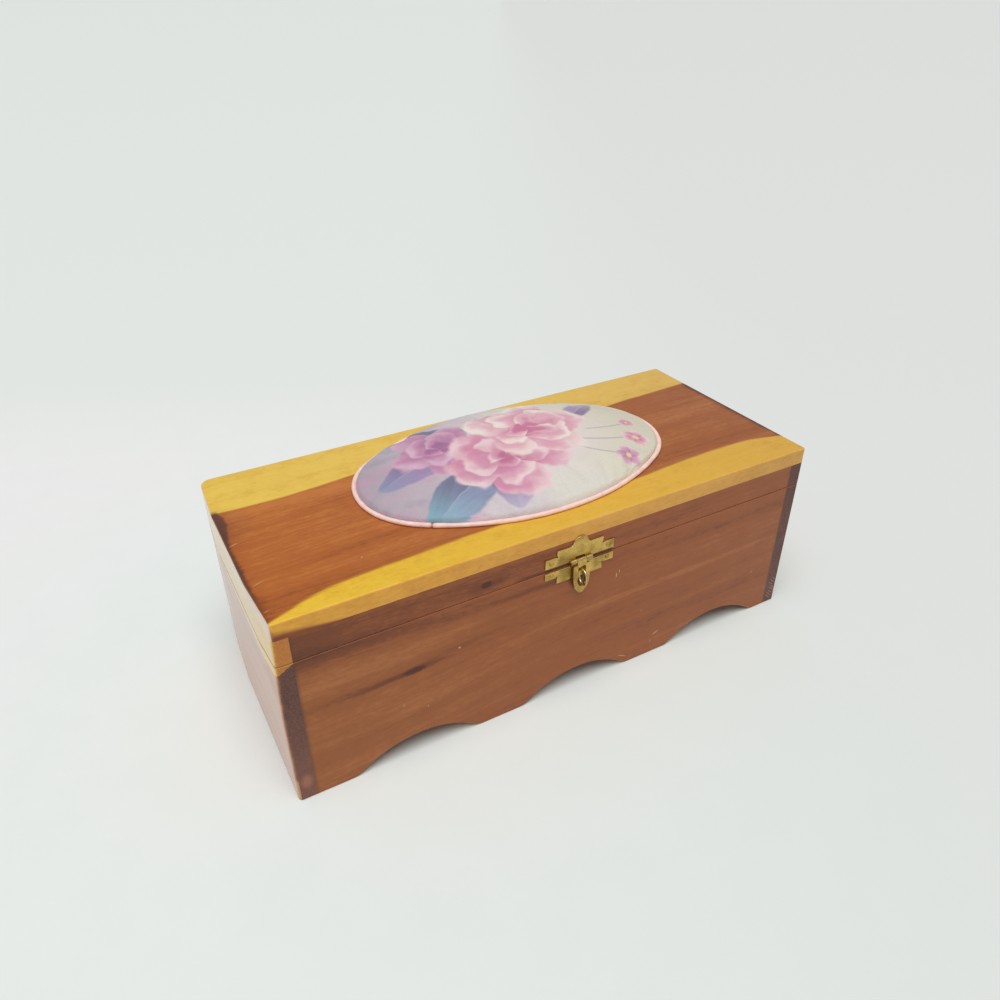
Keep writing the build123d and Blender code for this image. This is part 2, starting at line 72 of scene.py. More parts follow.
# ================================================================ node building
class Net:
    """Writes a node tree as sums and products. Values are numbers or sockets."""

    def __init__(self, tree):
        self.t = tree

    def node(self, kind, **props):
        n = self.t.nodes.new(kind)
        for k, v in props.items():
            setattr(n, k, v)
        return n

    def put(self, socket, value):
        if isinstance(value, bpy.types.NodeSocket):
            self.t.links.new(value, socket)
        elif value is not None:
            socket.default_value = value

    def m(self, op, *args, clamp=False):
        n = self.node("ShaderNodeMath", operation=op, use_clamp=clamp)
        for i, a in enumerate(args):
            self.put(n.inputs[i], a)
        return n.outputs[0]

    def add(self, a, b): return self.m("ADD", a, b)
    def sub(self, a, b): return self.m("SUBTRACT", a, b)
    def mul(self, a, b): return self.m("MULTIPLY", a, b)
    def div(self, a, b): return self.m("DIVIDE", a, b)
    def pw(self, a, b): return self.m("POWER", a, b)
    def mn(self, a, b): return self.m("MINIMUM", a, b)
    def mx(self, a, b): return self.m("MAXIMUM", a, b)
    def ab(self, a): return self.m("ABSOLUTE", a)
    def sin(self, a): return self.m("SINE", a)
    def cos(self, a): return self.m("COSINE", a)
    def inv(self, a): return self.m("SUBTRACT", 1.0, a)
    def mad(self, a, b, c): return self.m("MULTIPLY_ADD", a, b, c)

    def hyp(self, a, b):
        return self.m("SQRT", self.mad(a, a, self.mul(b, b)))

    def step(self, x, lo, hi, a=0.0, b=1.0):
        """Smooth step from a to b as x goes from lo to hi. hi may be under lo."""
        n = self.node("ShaderNodeMapRange", interpolation_type="SMOOTHSTEP")
        self.put(n.inputs["Value"], x)
        if not isinstance(lo, bpy.types.NodeSocket) and not isinstance(hi, bpy.types.NodeSocket) and lo > hi:
            lo, hi, a, b = hi, lo, b, a
        self.put(n.inputs["From Min"], lo)
        self.put(n.inputs["From Max"], hi)
        self.put(n.inputs["To Min"], a)
        self.put(n.inputs["To Max"], b)
        return n.outputs["Result"]

    def vec(self, x, y, z):
        n = self.node("ShaderNodeCombineXYZ")
        for i, v in enumerate((x, y, z)):
            self.put(n.inputs[i], v)
        return n.outputs[0]

    def noise(self, x, y, z, detail=2.0, rough=0.5, distortion=0.0):
        n = self.node("ShaderNodeTexNoise")
        n.inputs["Scale"].default_value = 1.0
        n.inputs["Detail"].default_value = detail
        n.inputs["Roughness"].default_value = rough
        n.inputs["Distortion"].default_value = distortion
        self.put(n.inputs["Vector"], self.vec(x, y, z))
        return n.outputs["Fac"] if "Fac" in n.outputs else n.outputs[0]

    def mix(self, fac, a, b, blend="MIX"):
        n = self.node("ShaderNodeMix", data_type="RGBA", blend_type=blend)
        self.put(n.inputs[0], fac)
        self.put(n.inputs[6], a)
        self.put(n.inputs[7], b)
        return n.outputs[2]

    def ramp(self, x, *stops, interpolation="EASE"):
        n = self.node("ShaderNodeValToRGB")
        r = n.color_ramp
        r.interpolation = interpolation
        while len(r.elements) < len(stops):
            r.elements.new(0.5)
        for e, (pos, colour) in zip(r.elements, stops):
            e.position = pos
            e.color = colour
        self.put(n.inputs[0], x)
        return n.outputs["Color"]

    def curve(self, x, points):
        """A curve through points. x and the result are both 0 to 1."""
        n = self.node("ShaderNodeFloatCurve")
        c = n.mapping.curves[0]
        c.points[0].location = points[0]
        c.points[1].location = points[-1]
        for p in points[1:-1]:
            c.points.new(*p)
        n.mapping.update()
        self.put(n.inputs["Value"], x)
        return n.outputs[0]

    def place(self):
        """The point in the row frame, in mm, and the object-space normal."""
        tc = self.node("ShaderNodeTexCoord")
        sep = self.node("ShaderNodeSeparateXYZ")
        self.t.links.new(tc.outputs["Object"], sep.inputs[0])
        nrm = self.node("ShaderNodeSeparateXYZ")
        self.t.links.new(tc.outputs["Normal"], nrm.inputs[0])
        return ([self.mul(sep.outputs[i], 1000.0) for i in range(3)],
                [nrm.outputs[i] for i in range(3)])

    def blob(self, a, b, ca, cb, ra, rb, soft=1.0):
        """An oval spot, 1 in its middle and 0 from its edge on."""
        da = self.mul(self.sub(a, ca), 1.0 / ra)
        db = self.mul(self.sub(b, cb), 1.0 / rb)
        return self.step(self.hyp(da, db), 1.0, 1.0 - soft)

    def bump(self, height, distance_mm, strength=1.0, normal=None):
        n = self.node("ShaderNodeBump")
        n.inputs["Strength"].default_value = strength
        n.inputs["Distance"].default_value = distance_mm / 1000
        self.put(n.inputs["Height"], height)
        if normal is not None:
            self.put(n.inputs["Normal"], normal)
        return n.outputs[0]


def new_material(name):
    mat = bpy.data.materials.new(name)
    mat.use_nodes = True
    t = mat.node_tree
    shader = t.nodes["Principled BSDF"]
    return mat, Net(t), shader


def paint(node, mat):
    o = NODES[node] if isinstance(node, str) else node
    if not o.material_slots:
        o.data.materials.append(mat)
    for s in o.material_slots:
        s.material = mat


# ================================================================ cedar
HEART = [(0.00, lin(96, 46, 26)), (0.28, lin(140, 72, 36)), (0.52, lin(178, 98, 46)),
         (0.76, lin(200, 120, 62)), (1.00, lin(214, 146, 92))]
SAP = [(0.00, lin(196, 140, 44)), (0.35, lin(222, 172, 56)), (0.65, lin(236, 192, 70)),
       (1.00, lin(244, 212, 100))]


def cedar(name, along, across, deep, pith, seed, marks=None, heart=None, tone=0.0, inner=None, ring=2.1,
          contrast=1.0, rough=0.45, coat=0.05, end_tones=((92, 62, 58), (132, 92, 82)), end_coat=0.6, left_end=None,
          sap_ends=((184, 114, 48), (205, 134, 60)), tints=None, sap_tints=None, sap_back=None, shaded_tan_tints=None,
          worn_k=1.0):
    """A board of cedar under a thin satin lacquer. along, across and deep are
    the axes of its grain, its face and its thickness. pith is the heart of the
    log, in mm, in (across, deep), so the rings curve round it and show on the
    board's ends. marks may bend the across coordinate and return darker and
    lighter places. heart gives 1 in heartwood and 0 in sapwood. The tints are
    how the colours change from the board's left end over its middle to its
    right end. left_end is the two tones of a waxed, shiny left end; their
    paleness is partly a painted reflection of the bright surroundings."""
    mat, g, shader = new_material(name)
    p, nrm = g.place()
    u, v, w = p[along], p[across], p[deep]
    extra = {"dark": None, "light": None, "pale": None, "v": None, "shaded_tan": None, "soil": None, "cream": None, "stain_and_shade": None}
    if marks:
        extra.update(marks(g, p, nrm))
    vs = extra["v"] if extra["v"] is not None else v
    # slow wander of the grain
    wander = g.sub(g.noise(g.mad(u, 1 / 150, seed), g.mul(v, 1 / 45), g.mul(w, 1 / 45), 2.0), 0.5)
    wander2 = g.sub(g.noise(g.mad(u, 1 / 60, seed + 7.7), g.mul(v, 1 / 14), g.mul(w, 1 / 20), 2.0), 0.5)
    vv = g.mad(wander2, 2.4, g.mad(wander, 9.0, vs))
    r = g.hyp(g.sub(vv, pith[0]), g.mad(wander, 6.0, g.sub(w, pith[1])))
    # yearly rings: a slow darkening, then a quick return
    phase = g.mad(g.noise(g.mad(u, 1 / 120, seed), g.mul(r, 1 / 9), 0.0, 2.0), 3.2, g.mul(r, 1 / ring))
    saw = g.m("FRACT", phase)
    late = g.mul(g.pw(saw, 2.2), g.step(saw, 1.0, 0.86))
    ring_strength = g.step(g.noise(g.mad(u, 1 / 90, seed + 3), g.mul(r, 1 / 13), 2.0, 2.0), 0.35, 0.70)
    late = g.mul(late, ring_strength)
    broad = g.noise(g.mad(u, 1 / 230, seed + 11), g.mul(r, 1 / 12), 0.0, 2.0, 0.5)
    streak = g.noise(g.mad(u, 1 / 70, seed + 5), g.mul(r, 1 / 2.1), g.mul(w, 1 / 60), 3.0, 0.55)
    fibre = g.noise(g.mad(u, 1 / 7, seed), g.mul(vv, 1 / 0.5), g.mul(w, 1 / 0.5), 3.0, 0.65)
    fine = g.noise(g.mad(u, 1 / 2.4, seed), g.mul(vv, 1 / 0.2), g.mul(w, 1 / 0.2), 1.0, 0.5)
    figure = g.noise(g.mad(u, 1 / 11, seed), g.mul(v, 1 / 9), g.mul(w, 1 / 9), 4.0, 0.62)
    mottle = g.noise(g.mad(u, 1 / 2.6, seed), g.mul(v, 1 / 1.1), g.mul(w, 1 / 1.1), 3.0, 0.6)

    t = g.mad(g.sub(broad, 0.5), 0.75 * contrast, 0.55 + tone)
    t = g.mad(g.sub(streak, 0.5), 0.42 * contrast, t)
    t = g.mad(g.sub(fibre, 0.5), 0.30, t)
    t = g.mad(g.sub(figure, 0.5), 0.20, t)
    t = g.mad(g.sub(mottle, 0.5), 0.22, t)
    t = g.mad(late, -0.13 * contrast, t)
    if extra["light"] is not None:
        t = g.add(t, extra["light"])
    if extra["dark"] is not None:
        t = g.sub(t, extra["dark"])
    heart_col = g.ramp(t, *HEART)
    along_board = g.m("ADD", g.mul(g.sub(u, LEFT), 1 / 279.4), 0.0, clamp=True)

    def along_tint(colour, three):
        return g.mix(1.0, colour, g.ramp(along_board, *zip((0.0, 0.5, 1.0), ((*c, 1) for c in three)),
                                         interpolation="LINEAR"), "MULTIPLY")

    if tints:
        heart_col = along_tint(heart_col, tints)
    s = g.mad(g.sub(broad, 0.5), 0.40, 0.58)
    s = g.mad(g.sub(streak, 0.5), 0.14, s)
    s = g.mad(g.sub(fibre, 0.5), 0.26, s)
    s = g.mad(g.sub(figure, 0.5), 0.46, s)
    s = g.mad(g.sub(mottle, 0.5), 0.42, s)
    s = g.mad(late, -0.07, s)
    sap_raw = g.ramp(s, *SAP)
    sap_col = along_tint(sap_raw, sap_tints) if sap_tints else sap_raw
    if extra["cream"] is not None:
        sap_col = g.mix(extra["cream"], sap_col, along_tint(sap_raw, sap_back))
    # painted shade: on the faces this mark picks out, the sapwood takes a darker amber copy of itself
    if extra["shaded_tan"] is not None:
        shaded_amber = along_tint(g.ramp(s, (0.2, lin(216, 146, 74)), (0.8, lin(246, 186, 106))), shaded_tan_tints)
        sap_col = g.mix(extra["shaded_tan"], sap_col, shaded_amber)
    if heart is None:
        col = heart_col
    else:
        h = heart(g, p, nrm, wander2)
        rim = g.mul(g.step(h, 0.10, 0.6), g.step(h, 1.0, 0.7))
        heart_col = g.mix(g.mul(rim, 0.35), heart_col, lin(160, 88, 30))
        col = g.mix(g.step(h, 0.0, 1.0), sap_col, heart_col)
    # sawn ends drink the lacquer and go dark
    end = g.step(g.ab(nrm[along]), 0.55, 0.85)
    pores = g.step(g.noise(g.mul(v, 1 / 0.4), g.mul(w, 1 / 0.4), g.mul(u, 1 / 4), 3.0), 0.36, 0.66)
    end_col = g.mix(pores, lin(*end_tones[0]), lin(*end_tones[1]))
    end_col = g.mix(g.mul(late, 0.55), end_col, lin(58, 36, 34))
    end_col = g.mix(g.mul(g.step(figure, 0.40, 0.7), 0.45), end_col, lin(126, 78, 62))
    if heart is not None:
        sap_end = g.mix(g.mul(late, 0.4), g.mix(pores, lin(*sap_ends[0]), lin(*sap_ends[1])), lin(150, 84, 38))
        end_col = g.mix(g.step(h, 0.0, 1.0), sap_end, end_col)
        end_col = g.mix(g.mul(g.mul(g.step(h, 0.05, 0.5), g.step(h, 1.0, 0.6)), 0.7), end_col, lin(70, 46, 34))
    if extra["soil"] is not None:
        end_col = g.mix(extra["soil"], end_col, lin(160, 104, 82))
    if left_end:
        at_left = g.step(nrm[along], -0.5, -0.8)
        end_col = g.mix(at_left, end_col, g.mix(pores, lin(*left_end[0]), lin(*left_end[1])))
    col = g.mix(end, col, end_col)
    # painted shade and real stains: this darkens the wood with real stains on the top board, and on the front with
    # painted shade along the joints and round the hasp's strap
    if extra["stain_and_shade"] is not None:
        col = g.mix(extra["stain_and_shade"], col, lin(82, 52, 48))
    # sanded-through edges: wherever the surface turns, the wood is paler; along the low rims of the arches and feet
    # this paling is a painted highlight
    flat = g.mx(g.mx(g.ab(nrm[0]), g.ab(nrm[1])), g.ab(nrm[2]))
    edge_wear_and_highlight = g.mul(g.step(flat, 0.985, 0.86), g.mad(g.step(figure, 0.38, 0.62), 0.34, 0.10))
    seam = g.step(g.ab(g.sub(p[2], SAW)), 0.9, 0.5)
    edge_wear_and_highlight = g.mul(g.mul(edge_wear_and_highlight, worn_k), g.inv(seam))
    # painted highlight: the small chamfers along the arches and feet, low on the box, are lightened for the light they
    # catch from the floor
    edge_wear_and_highlight = g.mx(edge_wear_and_highlight, g.mul(g.mul(g.step(flat, 0.985, 0.86), g.step(p[2], 14.0, 11.0)), 0.55))
    col = g.mix(edge_wear_and_highlight, col, lin(226, 178, 128))
    # the saw cut between box and lid holds dust and shade
    cut = g.mul(g.step(g.ab(g.sub(p[2], SAW)), 0.7, 0.3), g.step(g.ab(nrm[2]), 0.6, 0.3))
    col = g.mix(g.mul(cut, 0.06), col, lin(86, 50, 34))
    # its two narrow bevels are painted lighter to cancel the shade of the cut: a strong painted highlight on the upper,
    # down-facing bevel and a milder one on the lower bevel
    seam_bevel_light = g.mul(seam, g.mul(g.step(g.ab(nrm[2]), 0.30, 0.55), g.step(g.ab(nrm[2]), 0.95, 0.82)))
    col = g.mix(g.mul(g.mul(seam_bevel_light, g.step(nrm[2], 0.1, 0.4)), 0.38), col, lin(190, 122, 86))
    col = g.mix(g.mul(g.mul(seam_bevel_light, g.step(nrm[2], -0.1, -0.4)), 0.85), col, lin(246, 178, 130))
    if extra["pale"] is not None:
        col = g.mix(extra["pale"], col, lin(228, 190, 150))
    rgh = g.mad(g.sub(fibre, 0.5), 0.14, g.mad(end, 0.14, rough))
    ct = g.mul(g.mad(end, end_coat - 1.0, 1.0), coat)
    if left_end:
        ct = g.mad(at_left, 0.92, ct)
        rgh = g.mad(at_left, -0.29, rgh)
    if inner is not None:
        bare = inner(g, p, nrm)
        raw = g.mix(0.55, col, g.mix(g.step(t, 0.2, 0.9), lin(176, 112, 84), lin(214, 158, 122)))
        col = g.mix(bare, col, raw)
        rgh = g.mad(bare, 0.28, rgh)
        ct = g.mul(ct, g.inv(bare))
    g.put(shader.inputs["Base Color"], col)
    g.put(shader.inputs["Roughness"], rgh)
    g.put(shader.inputs["Coat Weight"], ct)
    shader.inputs["Coat Roughness"].default_value = 0.22
    shader.inputs["Coat IOR"].default_value = 1.45
    shader.inputs["IOR"].default_value = 1.40
    height = g.mad(fine, 0.30, g.mad(fibre, 0.5, g.mul(late, -0.35)))
    n1 = g.bump(height, 0.03, 0.7)
    swell = g.noise(g.mad(u, 1 / 40, seed), g.mul(v, 1 / 9), g.mul(w, 1 / 9), 2.0)
    n2 = g.bump(swell, 0.12, 0.6, n1)
    g.put(shader.inputs["Normal"], n2)
    return mat


# -- the top board: a heart stripe between two bands of sapwood
def top_heart(g, p, nrm, wander):
    xn = g.mul(g.sub(p[0], LEFT), 1 / 279.4)
    yf_pts = [(0, .6), (10, 4.8), (20, 8.7), (30, 11.0), (45, 12.8), (60, 13.9), (80, 14.9), (97, 15.7), (140, 17.0),
              (190, 18.7), (205, 20.1), (220, 21.2), (240, 21.9), (255, 21.6), (265, 20.2), (272, 18.3), (279.4, 16.0)]
    yb_pts = [(0, 87.2), (20, 86.2), (40, 86.8), (60, 88.7), (75, 90.2), (110, 91.2), (170, 91.0), (218, 90.8), (230, 92.2),
              (250, 93.2), (270, 94.2), (279.4, 94.7)]
    yf = g.mul(g.curve(xn, [(a / 279.4, b / 120.7) for a, b in yf_pts]), 120.7)
    yb = g.mul(g.curve(xn, [(a / 279.4, b / 120.7) for a, b in yb_pts]), 120.7)
    depth = g.sub(TOP, p[2])
    y = g.sub(p[1], FRONT)
    reach = g.mad(g.mul(xn, 279.4), 0.137, 4.4)
    m = g.sub(g.add(g.div(y, g.mx(yf, 0.3)), g.div(depth, reach)), 1.0)
    front = g.mul(m, g.div(g.mul(yf, reach), g.hyp(yf, reach)))
    back = g.sub(g.mad(depth, 0.5, yb), y)
    d = g.mn(front, back)
    d = g.mad(wander, 1.0, d)
    ragged = g.sub(g.noise(g.mul(p[0], 1 / 14), g.mul(p[1], 1 / 1.2), g.mul(p[2], 1 / 2), 3.0), 0.5)
    d = g.mad(ragged, 0.9, d)
    return g.step(d, -1.3, 1.2)


def top_marks(g, p, nrm):
    x = g.sub(p[0], LEFT)
    y = g.sub(p[1], FRONT)
    warp = g.mul(g.sub(g.noise(g.mul(p[1], 1 / 5), g.mul(p[2], 1 / 7), 3.3, 4.0), 0.5), 3.2)
    xl = g.add(x, warp)
    left = g.mul(g.step(xl, 3.6, 0.6), 0.30)
    left = g.add(left, g.mul(g.step(xl, 9.0, 1.5), 0.16))
    # the finish has gone dark where hands took hold of the left end
    wide = g.mad(g.blob(x, y, 0.0, 78.0, 60.0, 20.0, 1.0), 3.4, 0.3)
    stain_and_shade = g.mul(g.step(g.sub(xl, wide), 2.4, 0.1), g.step(y, 3.0, 14.0, 0.35, 0.85))
    stain_and_shade = g.mx(stain_and_shade, g.mul(g.blob(xl, y, 0.0, 74.0, 20.0, 30.0, 1.0), 0.30))
    stain_and_shade = g.mul(stain_and_shade, g.step(y, 90.5, 86.5))
    far = g.sub(279.4, g.mad(warp, 0.6, x))
    stain_and_shade = g.m("ADD", stain_and_shade, g.mul(g.step(far, 5.6, 0.2), g.mul(g.step(y, 20.0, 40.0), g.step(y, 96.0, 90.0, 0.0, 0.62))), clamp=True)
    stain_and_shade = g.mul(stain_and_shade, g.step(nrm[2], 0.3, 0.7))
    right = g.mul(g.step(g.sub(279.4, g.add(x, g.mul(warp, 0.5))), 3.0, 0.5), 0.55)
    dark = g.mul(g.add(left, right), 0.62)
    # dark lines that run with the grain and rise a little to the left
    yy = g.mad(g.step(x, 90.0, 0.0), 5.0, y)
    lines = g.step(g.noise(g.mad(x, 1 / 110, 2.0), g.mul(yy, 1 / 2.4), 0.0, 3.0, 0.6), 0.54, 0.70)
    dark = g.add(dark, g.mul(lines, 0.11))
    fore = g.mul(g.step(x, 60.0, 10.0), g.step(y, 34.0, 8.0))
    dark = g.add(dark, g.mul(fore, 0.08))
    # painted shade: heartwood on the board's front face is darkened
    dark = g.add(dark, g.mul(g.step(nrm[1], -0.35, -0.8), 0.26))
    lean = g.mad(x, -0.35, y)
    scratch = g.mul(g.blob(x, lean, 3.4, 57.6, 3.0, 0.5, 0.9), 1.2)
    for cx, cy, rx, ry, k in ((5.2, 25.4, 4.0, 0.45, 1.0), (3.4, 7.4, 1.8, 0.4, 0.8), (9.5, 47.0, 2.6, 0.3, 0.5)):
        scratch = g.add(scratch, g.mul(g.blob(x, lean, cx, cy, rx, ry, 0.9), k))
    flecks = g.add(g.blob(x, y, 84.0, 13.7, 0.9, 0.6, 0.8), g.add(g.blob(x, y, 50.0, 2.6, 0.8, 0.6, 0.8), g.blob(x, y, 47.4, 23.6, 0.4, 0.9, 0.8)))
    pale = g.m("ADD", g.mul(scratch, 0.42), g.mul(flecks, 0.5), clamp=True)
    warm = g.mad(g.step(x, 120.0, 0.0), 0.04, g.mul(g.step(y, 35.0, 65.0), 0.055))
    warm = g.mad(g.blob(x, y, 42.0, 58.0, 34.0, 14.0, 1.0), 0.05, warm)
    # painted shade: the board's front face is painted a darker amber tan than its top, a shaded copy of the same
    # sapwood
    shaded_tan = g.step(nrm[1], -0.35, -0.9)
    return {"dark": dark, "pale": pale, "light": warm, "shaded_tan": shaded_tan, "cream": g.step(y, 40.0, 100.0), "stain_and_shade": stain_and_shade}


mat_top = cedar("cedar_top", 0, 1, 2, (-95.0, 60.0), 3.1, marks=top_marks, heart=top_heart, tone=0.0,
                inner=lambda g, p, n: g.step(n[2], -0.5, -0.8), ring=2.6, contrast=0.65,
                end_tones=((120, 80, 66), (168, 120, 98)), left_end=((222, 182, 138), (240, 208, 166)),
                sap_ends=((204, 134, 68), (226, 158, 84)), worn_k=0.4,
                # the tints make the top greyer and bluer towards its right end: partly the wood's own tone and partly a
                # painted reflection of the pale surroundings, which that end shows at a grazing angle
                tints=((0.98, 0.99, 0.80), (0.88, 0.96, 1.1), (0.76, 0.92, 1.5)),
                sap_tints=((1.02, 1.04, 0.63), (0.91, 0.84, 0.77), (0.835, 0.76, 1.09)),
                sap_back=((0.98, 1.06, 1.53), (0.94, 1.0, 1.73), (0.853, 0.87, 1.88)),
                shaded_tan_tints=((0.94, 0.90, 0.38), (0.89, 0.84, 0.50), (0.81, 0.84, 0.64)))
paint("top_board", mat_top)


# -- the front: heartwood, its figure running on over the saw cut
def front_marks(g, p, nrm):
    x = g.sub(p[0], LEFT)
    q = g.sub(TOP, p[2])                       # depth below the lid's top
    rise = g.mul(g.step(x, 168.0, 8.0), g.step(q, 41.0, 60.0))
    droop = g.mul(g.step(x, 200.0, 279.0), 1.4)
    v = g.sub(q, g.sub(g.mul(rise, 11.5), droop))
    # a knot pushes the grain aside
    kx, kq = g.mul(g.sub(x, 92.5), 1 / 9.0), g.mul(g.sub(q, 16.8), 1 / 4.0)
    push = g.m("EXPONENT", g.mul(g.mad(kx, kx, g.mul(kq, kq)), -1.0))
    v = g.mad(g.mul(push, g.m("SIGN", kq)), 1.4, v)
    nz = g.sub(g.noise(g.mul(x, 1 / 42), g.mul(v, 1 / 3.0), 0.0, 3.0), 0.5)
    vn = g.mad(nz, 2.4, v)
    # a dark cloud at the upper left, fading to the right
    cloud = g.mul(g.step(x, 150.0, 2.0), g.mul(g.step(vn, 33.0, 22.0), g.step(vn, 3.0, 20.0, 0.35, 1.0)))
    dark = g.mul(cloud, 0.30)
    qn = g.mad(nz, 2.4, q)
    for cx, cq, rx, rq, k in ((98.0, 14.0, 58.0, 8.0, 0.12), (205.0, 29.0, 150.0, 7.0, 0.08), (78.0, 45.0, 40.0, 5.0, 0.07),
                              (205.0, 73.0, 100.0, 9.0, 0.10), (266.0, 20.0, 30.0, 14.0, 0.06)):
        dark = g.add(dark, g.mul(g.blob(x, qn, cx, cq, rx, rq, 1.0), k))
    outer = g.step(g.ab(nrm[2]), 0.6, 0.3)
    # painted shade with real grime: the wood between the hasp's two leaves is darkened, standing in for the shadow
    # under the upper leaf as well as dirt
    leaf_gap_grime_and_shade = g.mul(g.mul(g.step(g.ab(g.sub(q, 20.9)), 1.1, 0.5), g.step(g.ab(g.sub(x, 140.9)), 19.0, 17.5)), outer)
    dark = g.mad(leaf_gap_grime_and_shade, 0.42, dark)
    dark = g.add(dark, g.mul(g.mul(g.step(x, 70.0, 2.0), g.step(vn, 32.0, 20.0)), 0.10))
    # the eye, with a streak that rises to the right through it
    smudge = g.sub(g.noise(g.mul(x, 1 / 3.2), g.mul(q, 1 / 1.7), 9.0, 4.0, 0.7), 0.5)
    smudge2 = g.sub(g.noise(g.mul(x, 1 / 3.2), g.mul(q, 1 / 1.7), 19.0, 4.0, 0.7), 0.5)
    qs = g.mad(g.sub(x, 57.0), 0.035, g.mad(nz, 1.0, q))
    dark = g.add(dark, g.mul(g.blob(x, qs, 55.0, 48.8, 30.0, 2.4, 1.0), 0.26))
    dark = g.add(dark, g.mul(g.blob(g.mad(smudge, 9.0, x), g.mad(smudge2, 4.0, qs), 57.8, 48.6, 6.6, 2.9, 1.0), 0.50))
    dark = g.add(dark, g.mul(g.blob(x, qs, 36.0, 48.0, 60.0, 3.6, 1.0), 0.14))
    # the knot
    dark = g.add(dark, g.mul(g.blob(g.mad(smudge, 3.6, x), g.mad(smudge2, 2.8, q), 93.0, 16.0, 3.1, 2.4, 1.0), 0.68))
    dark = g.add(dark, g.mul(g.blob(x, g.mad(x, 0.03, q), 98.0, 19.2, 10.0, 2.2, 1.0), 0.20))
    dark = g.add(dark, g.mul(g.blob(x, q, 90.0, 16.6, 13.0, 3.0, 1.0), 0.12))
    dark = g.add(dark, g.mul(g.blob(x, vn, 116.0, 20.4, 12.0, 1.6, 0.9), 0.30))
    dark = g.add(dark, g.mul(g.blob(x, vn, 176.0, 15.5, 50.0, 3.0, 1.0), 0.10))
    dark = g.add(dark, g.mul(g.blob(x, vn, 112.0, 28.0, 60.0, 3.2, 1.0), 0.12))
    dark = g.add(dark, g.mul(g.blob(x, vn, 150.0, 78.0, 170.0, 9.0, 1.0), 0.08))
    lines = g.step(g.noise(g.mad(x, 1 / 140, 4.0), g.mul(v, 1 / 2.2), 0.0, 3.0, 0.6), 0.56, 0.72)
    dark = g.add(dark, g.mul(lines, 0.07))
    light = g.mul(g.blob(x, vn, 36.0, 38.0, 92.0, 8.0, 1.0), 0.19)
    for cx, cq, rx, rq, k in ((32.0, 14.0, 24.0, 7.0, 0.05), (190.0, 54.0, 170.0, 9.0, 0.04), (58.0, 60.0, 70.0, 9.0, 0.08),
                              (40.0, 88.0, 90.0, 11.0, 0.05)):
        light = g.add(light, g.mul(g.blob(x, qn, cx, cq, rx, rq, 1.0), k))
    light = g.add(light, g.mul(g.blob(x, vn, 185.0, 51.4, 170.0, 2.6, 1.0), 0.14))
    light = g.add(light, g.mul(g.blob(x, vn, 60.0, 59.0, 90.0, 7.0, 1.0), 0.08))
    pale = g.mul(g.blob(x, q, 79.2, 45.4, 0.8, 0.7, 0.7), 0.75)
    for cx, cq, rx, rq, k in ((163.2, 37.4, 0.5, 1.9, .6), (164.8, 35.6, 0.45, 1.4, .5), (62.6, 72.6, 0.4, 1.0, .35),
                              (51.2, 66.6, 0.4, 1.1, .3), (257.0, 70.6, 1.0, 0.9, .25), (181.0, 66.4, 0.8, 0.6, .2),
                              (189.5, 90.5, 0.7, 1.2, .25)):
        pale = g.add(pale, g.mul(g.blob(x, q, cx, cq, rx, rq, 0.7), k))
    pale = g.add(pale, g.mul(g.blob(x, g.mad(x, 0.35, q), 192.5, 153.4, 2.6, 0.6, 0.6), 0.55))
    pale = g.add(pale, g.mul(g.blob(x, g.mad(x, -0.5, q), 171.5, 6.9, 3.2, 0.4, 0.6), 0.6))
    # thin painted shade along the joints with the two ends, a painted shadow on the wood behind the hasp's strap and in
    # its slot, and the sawn faces darker near their front edge
    stain_and_shade = g.m("ADD", g.mul(g.step(x, 9.6, 8.1), 0.45), g.mul(g.step(x, 270.2, 271.4), 0.30), clamp=True)
    stain_and_shade = g.mx(stain_and_shade, g.mul(g.mul(g.blob(x, q, 140.0, 29.5, 5.0, 7.0, 0.6), 0.85), outer))
    stain_and_shade = g.mx(stain_and_shade, g.mul(g.mul(g.inv(outer), g.step(g.sub(p[1], FRONT), 1.8, 0.7)), 0.15))
    return {"v": v, "dark": dark, "light": light, "pale": g.m("MINIMUM", pale, 0.9), "stain_and_shade": stain_and_shade}


front_inner = lambda g, p, n: g.mx(g.step(n[1], 0.5, 0.8), g.mul(g.step(g.ab(n[2]), 0.6, 0.9), g.step(g.sub(p[1], FRONT), 0.7, 2.0)))
mat_front = cedar("cedar_front", 0, 2, 1, (160.0, -20.0), 8.4, marks=front_marks, tone=0.0, inner=front_inner, ring=2.8,
                  contrast=0.55, tints=((0.77, 0.85, 0.93), (0.765, 0.785, 0.91), (0.75, 0.81, 1.05)))
paint("front_panel", mat_front)
paint("lid_front_rail", mat_front)


# -- the back, which is guessed: the same wood with one edge of sapwood
def back_heart(g, p, nrm, wander):
    x = g.sub(p[0], LEFT)
    edge = g.mad(g.step(x, 40.0, 240.0), 16.0, 4.0)
    d = g.sub(p[2], edge)
    ragged = g.sub(g.noise(g.mul(p[0], 1 / 16), g.mul(p[2], 1 / 1.3), 0.0, 3.0), 0.5)
    return g.step(g.mad(ragged, 1.6, g.mad(wander, 2.0, d)), -1.0, 1.0)


def back_marks(g, p, nrm):
    x = g.sub(RIGHT, p[0])
    q = g.sub(TOP, p[2])
    nz = g.sub(g.noise(g.mul(x, 1 / 50), g.mul(q, 1 / 3.4), 5.0, 3.0), 0.5)
    qn = g.mad(nz, 4.0, q)
    dark = g.mul(g.blob(x, qn, 180.0, 40.0, 90.0, 5.0, 0.95), 0.22)
    dark = g.add(dark, g.mul(g.blob(x, q, 196.0, 41.0, 5.0, 2.6, 0.8), 0.6))
    light = g.mul(g.blob(x, qn, 90.0, 58.0, 120.0, 7.0, 0.95), 0.16)
    return {"dark": dark, "light": light}


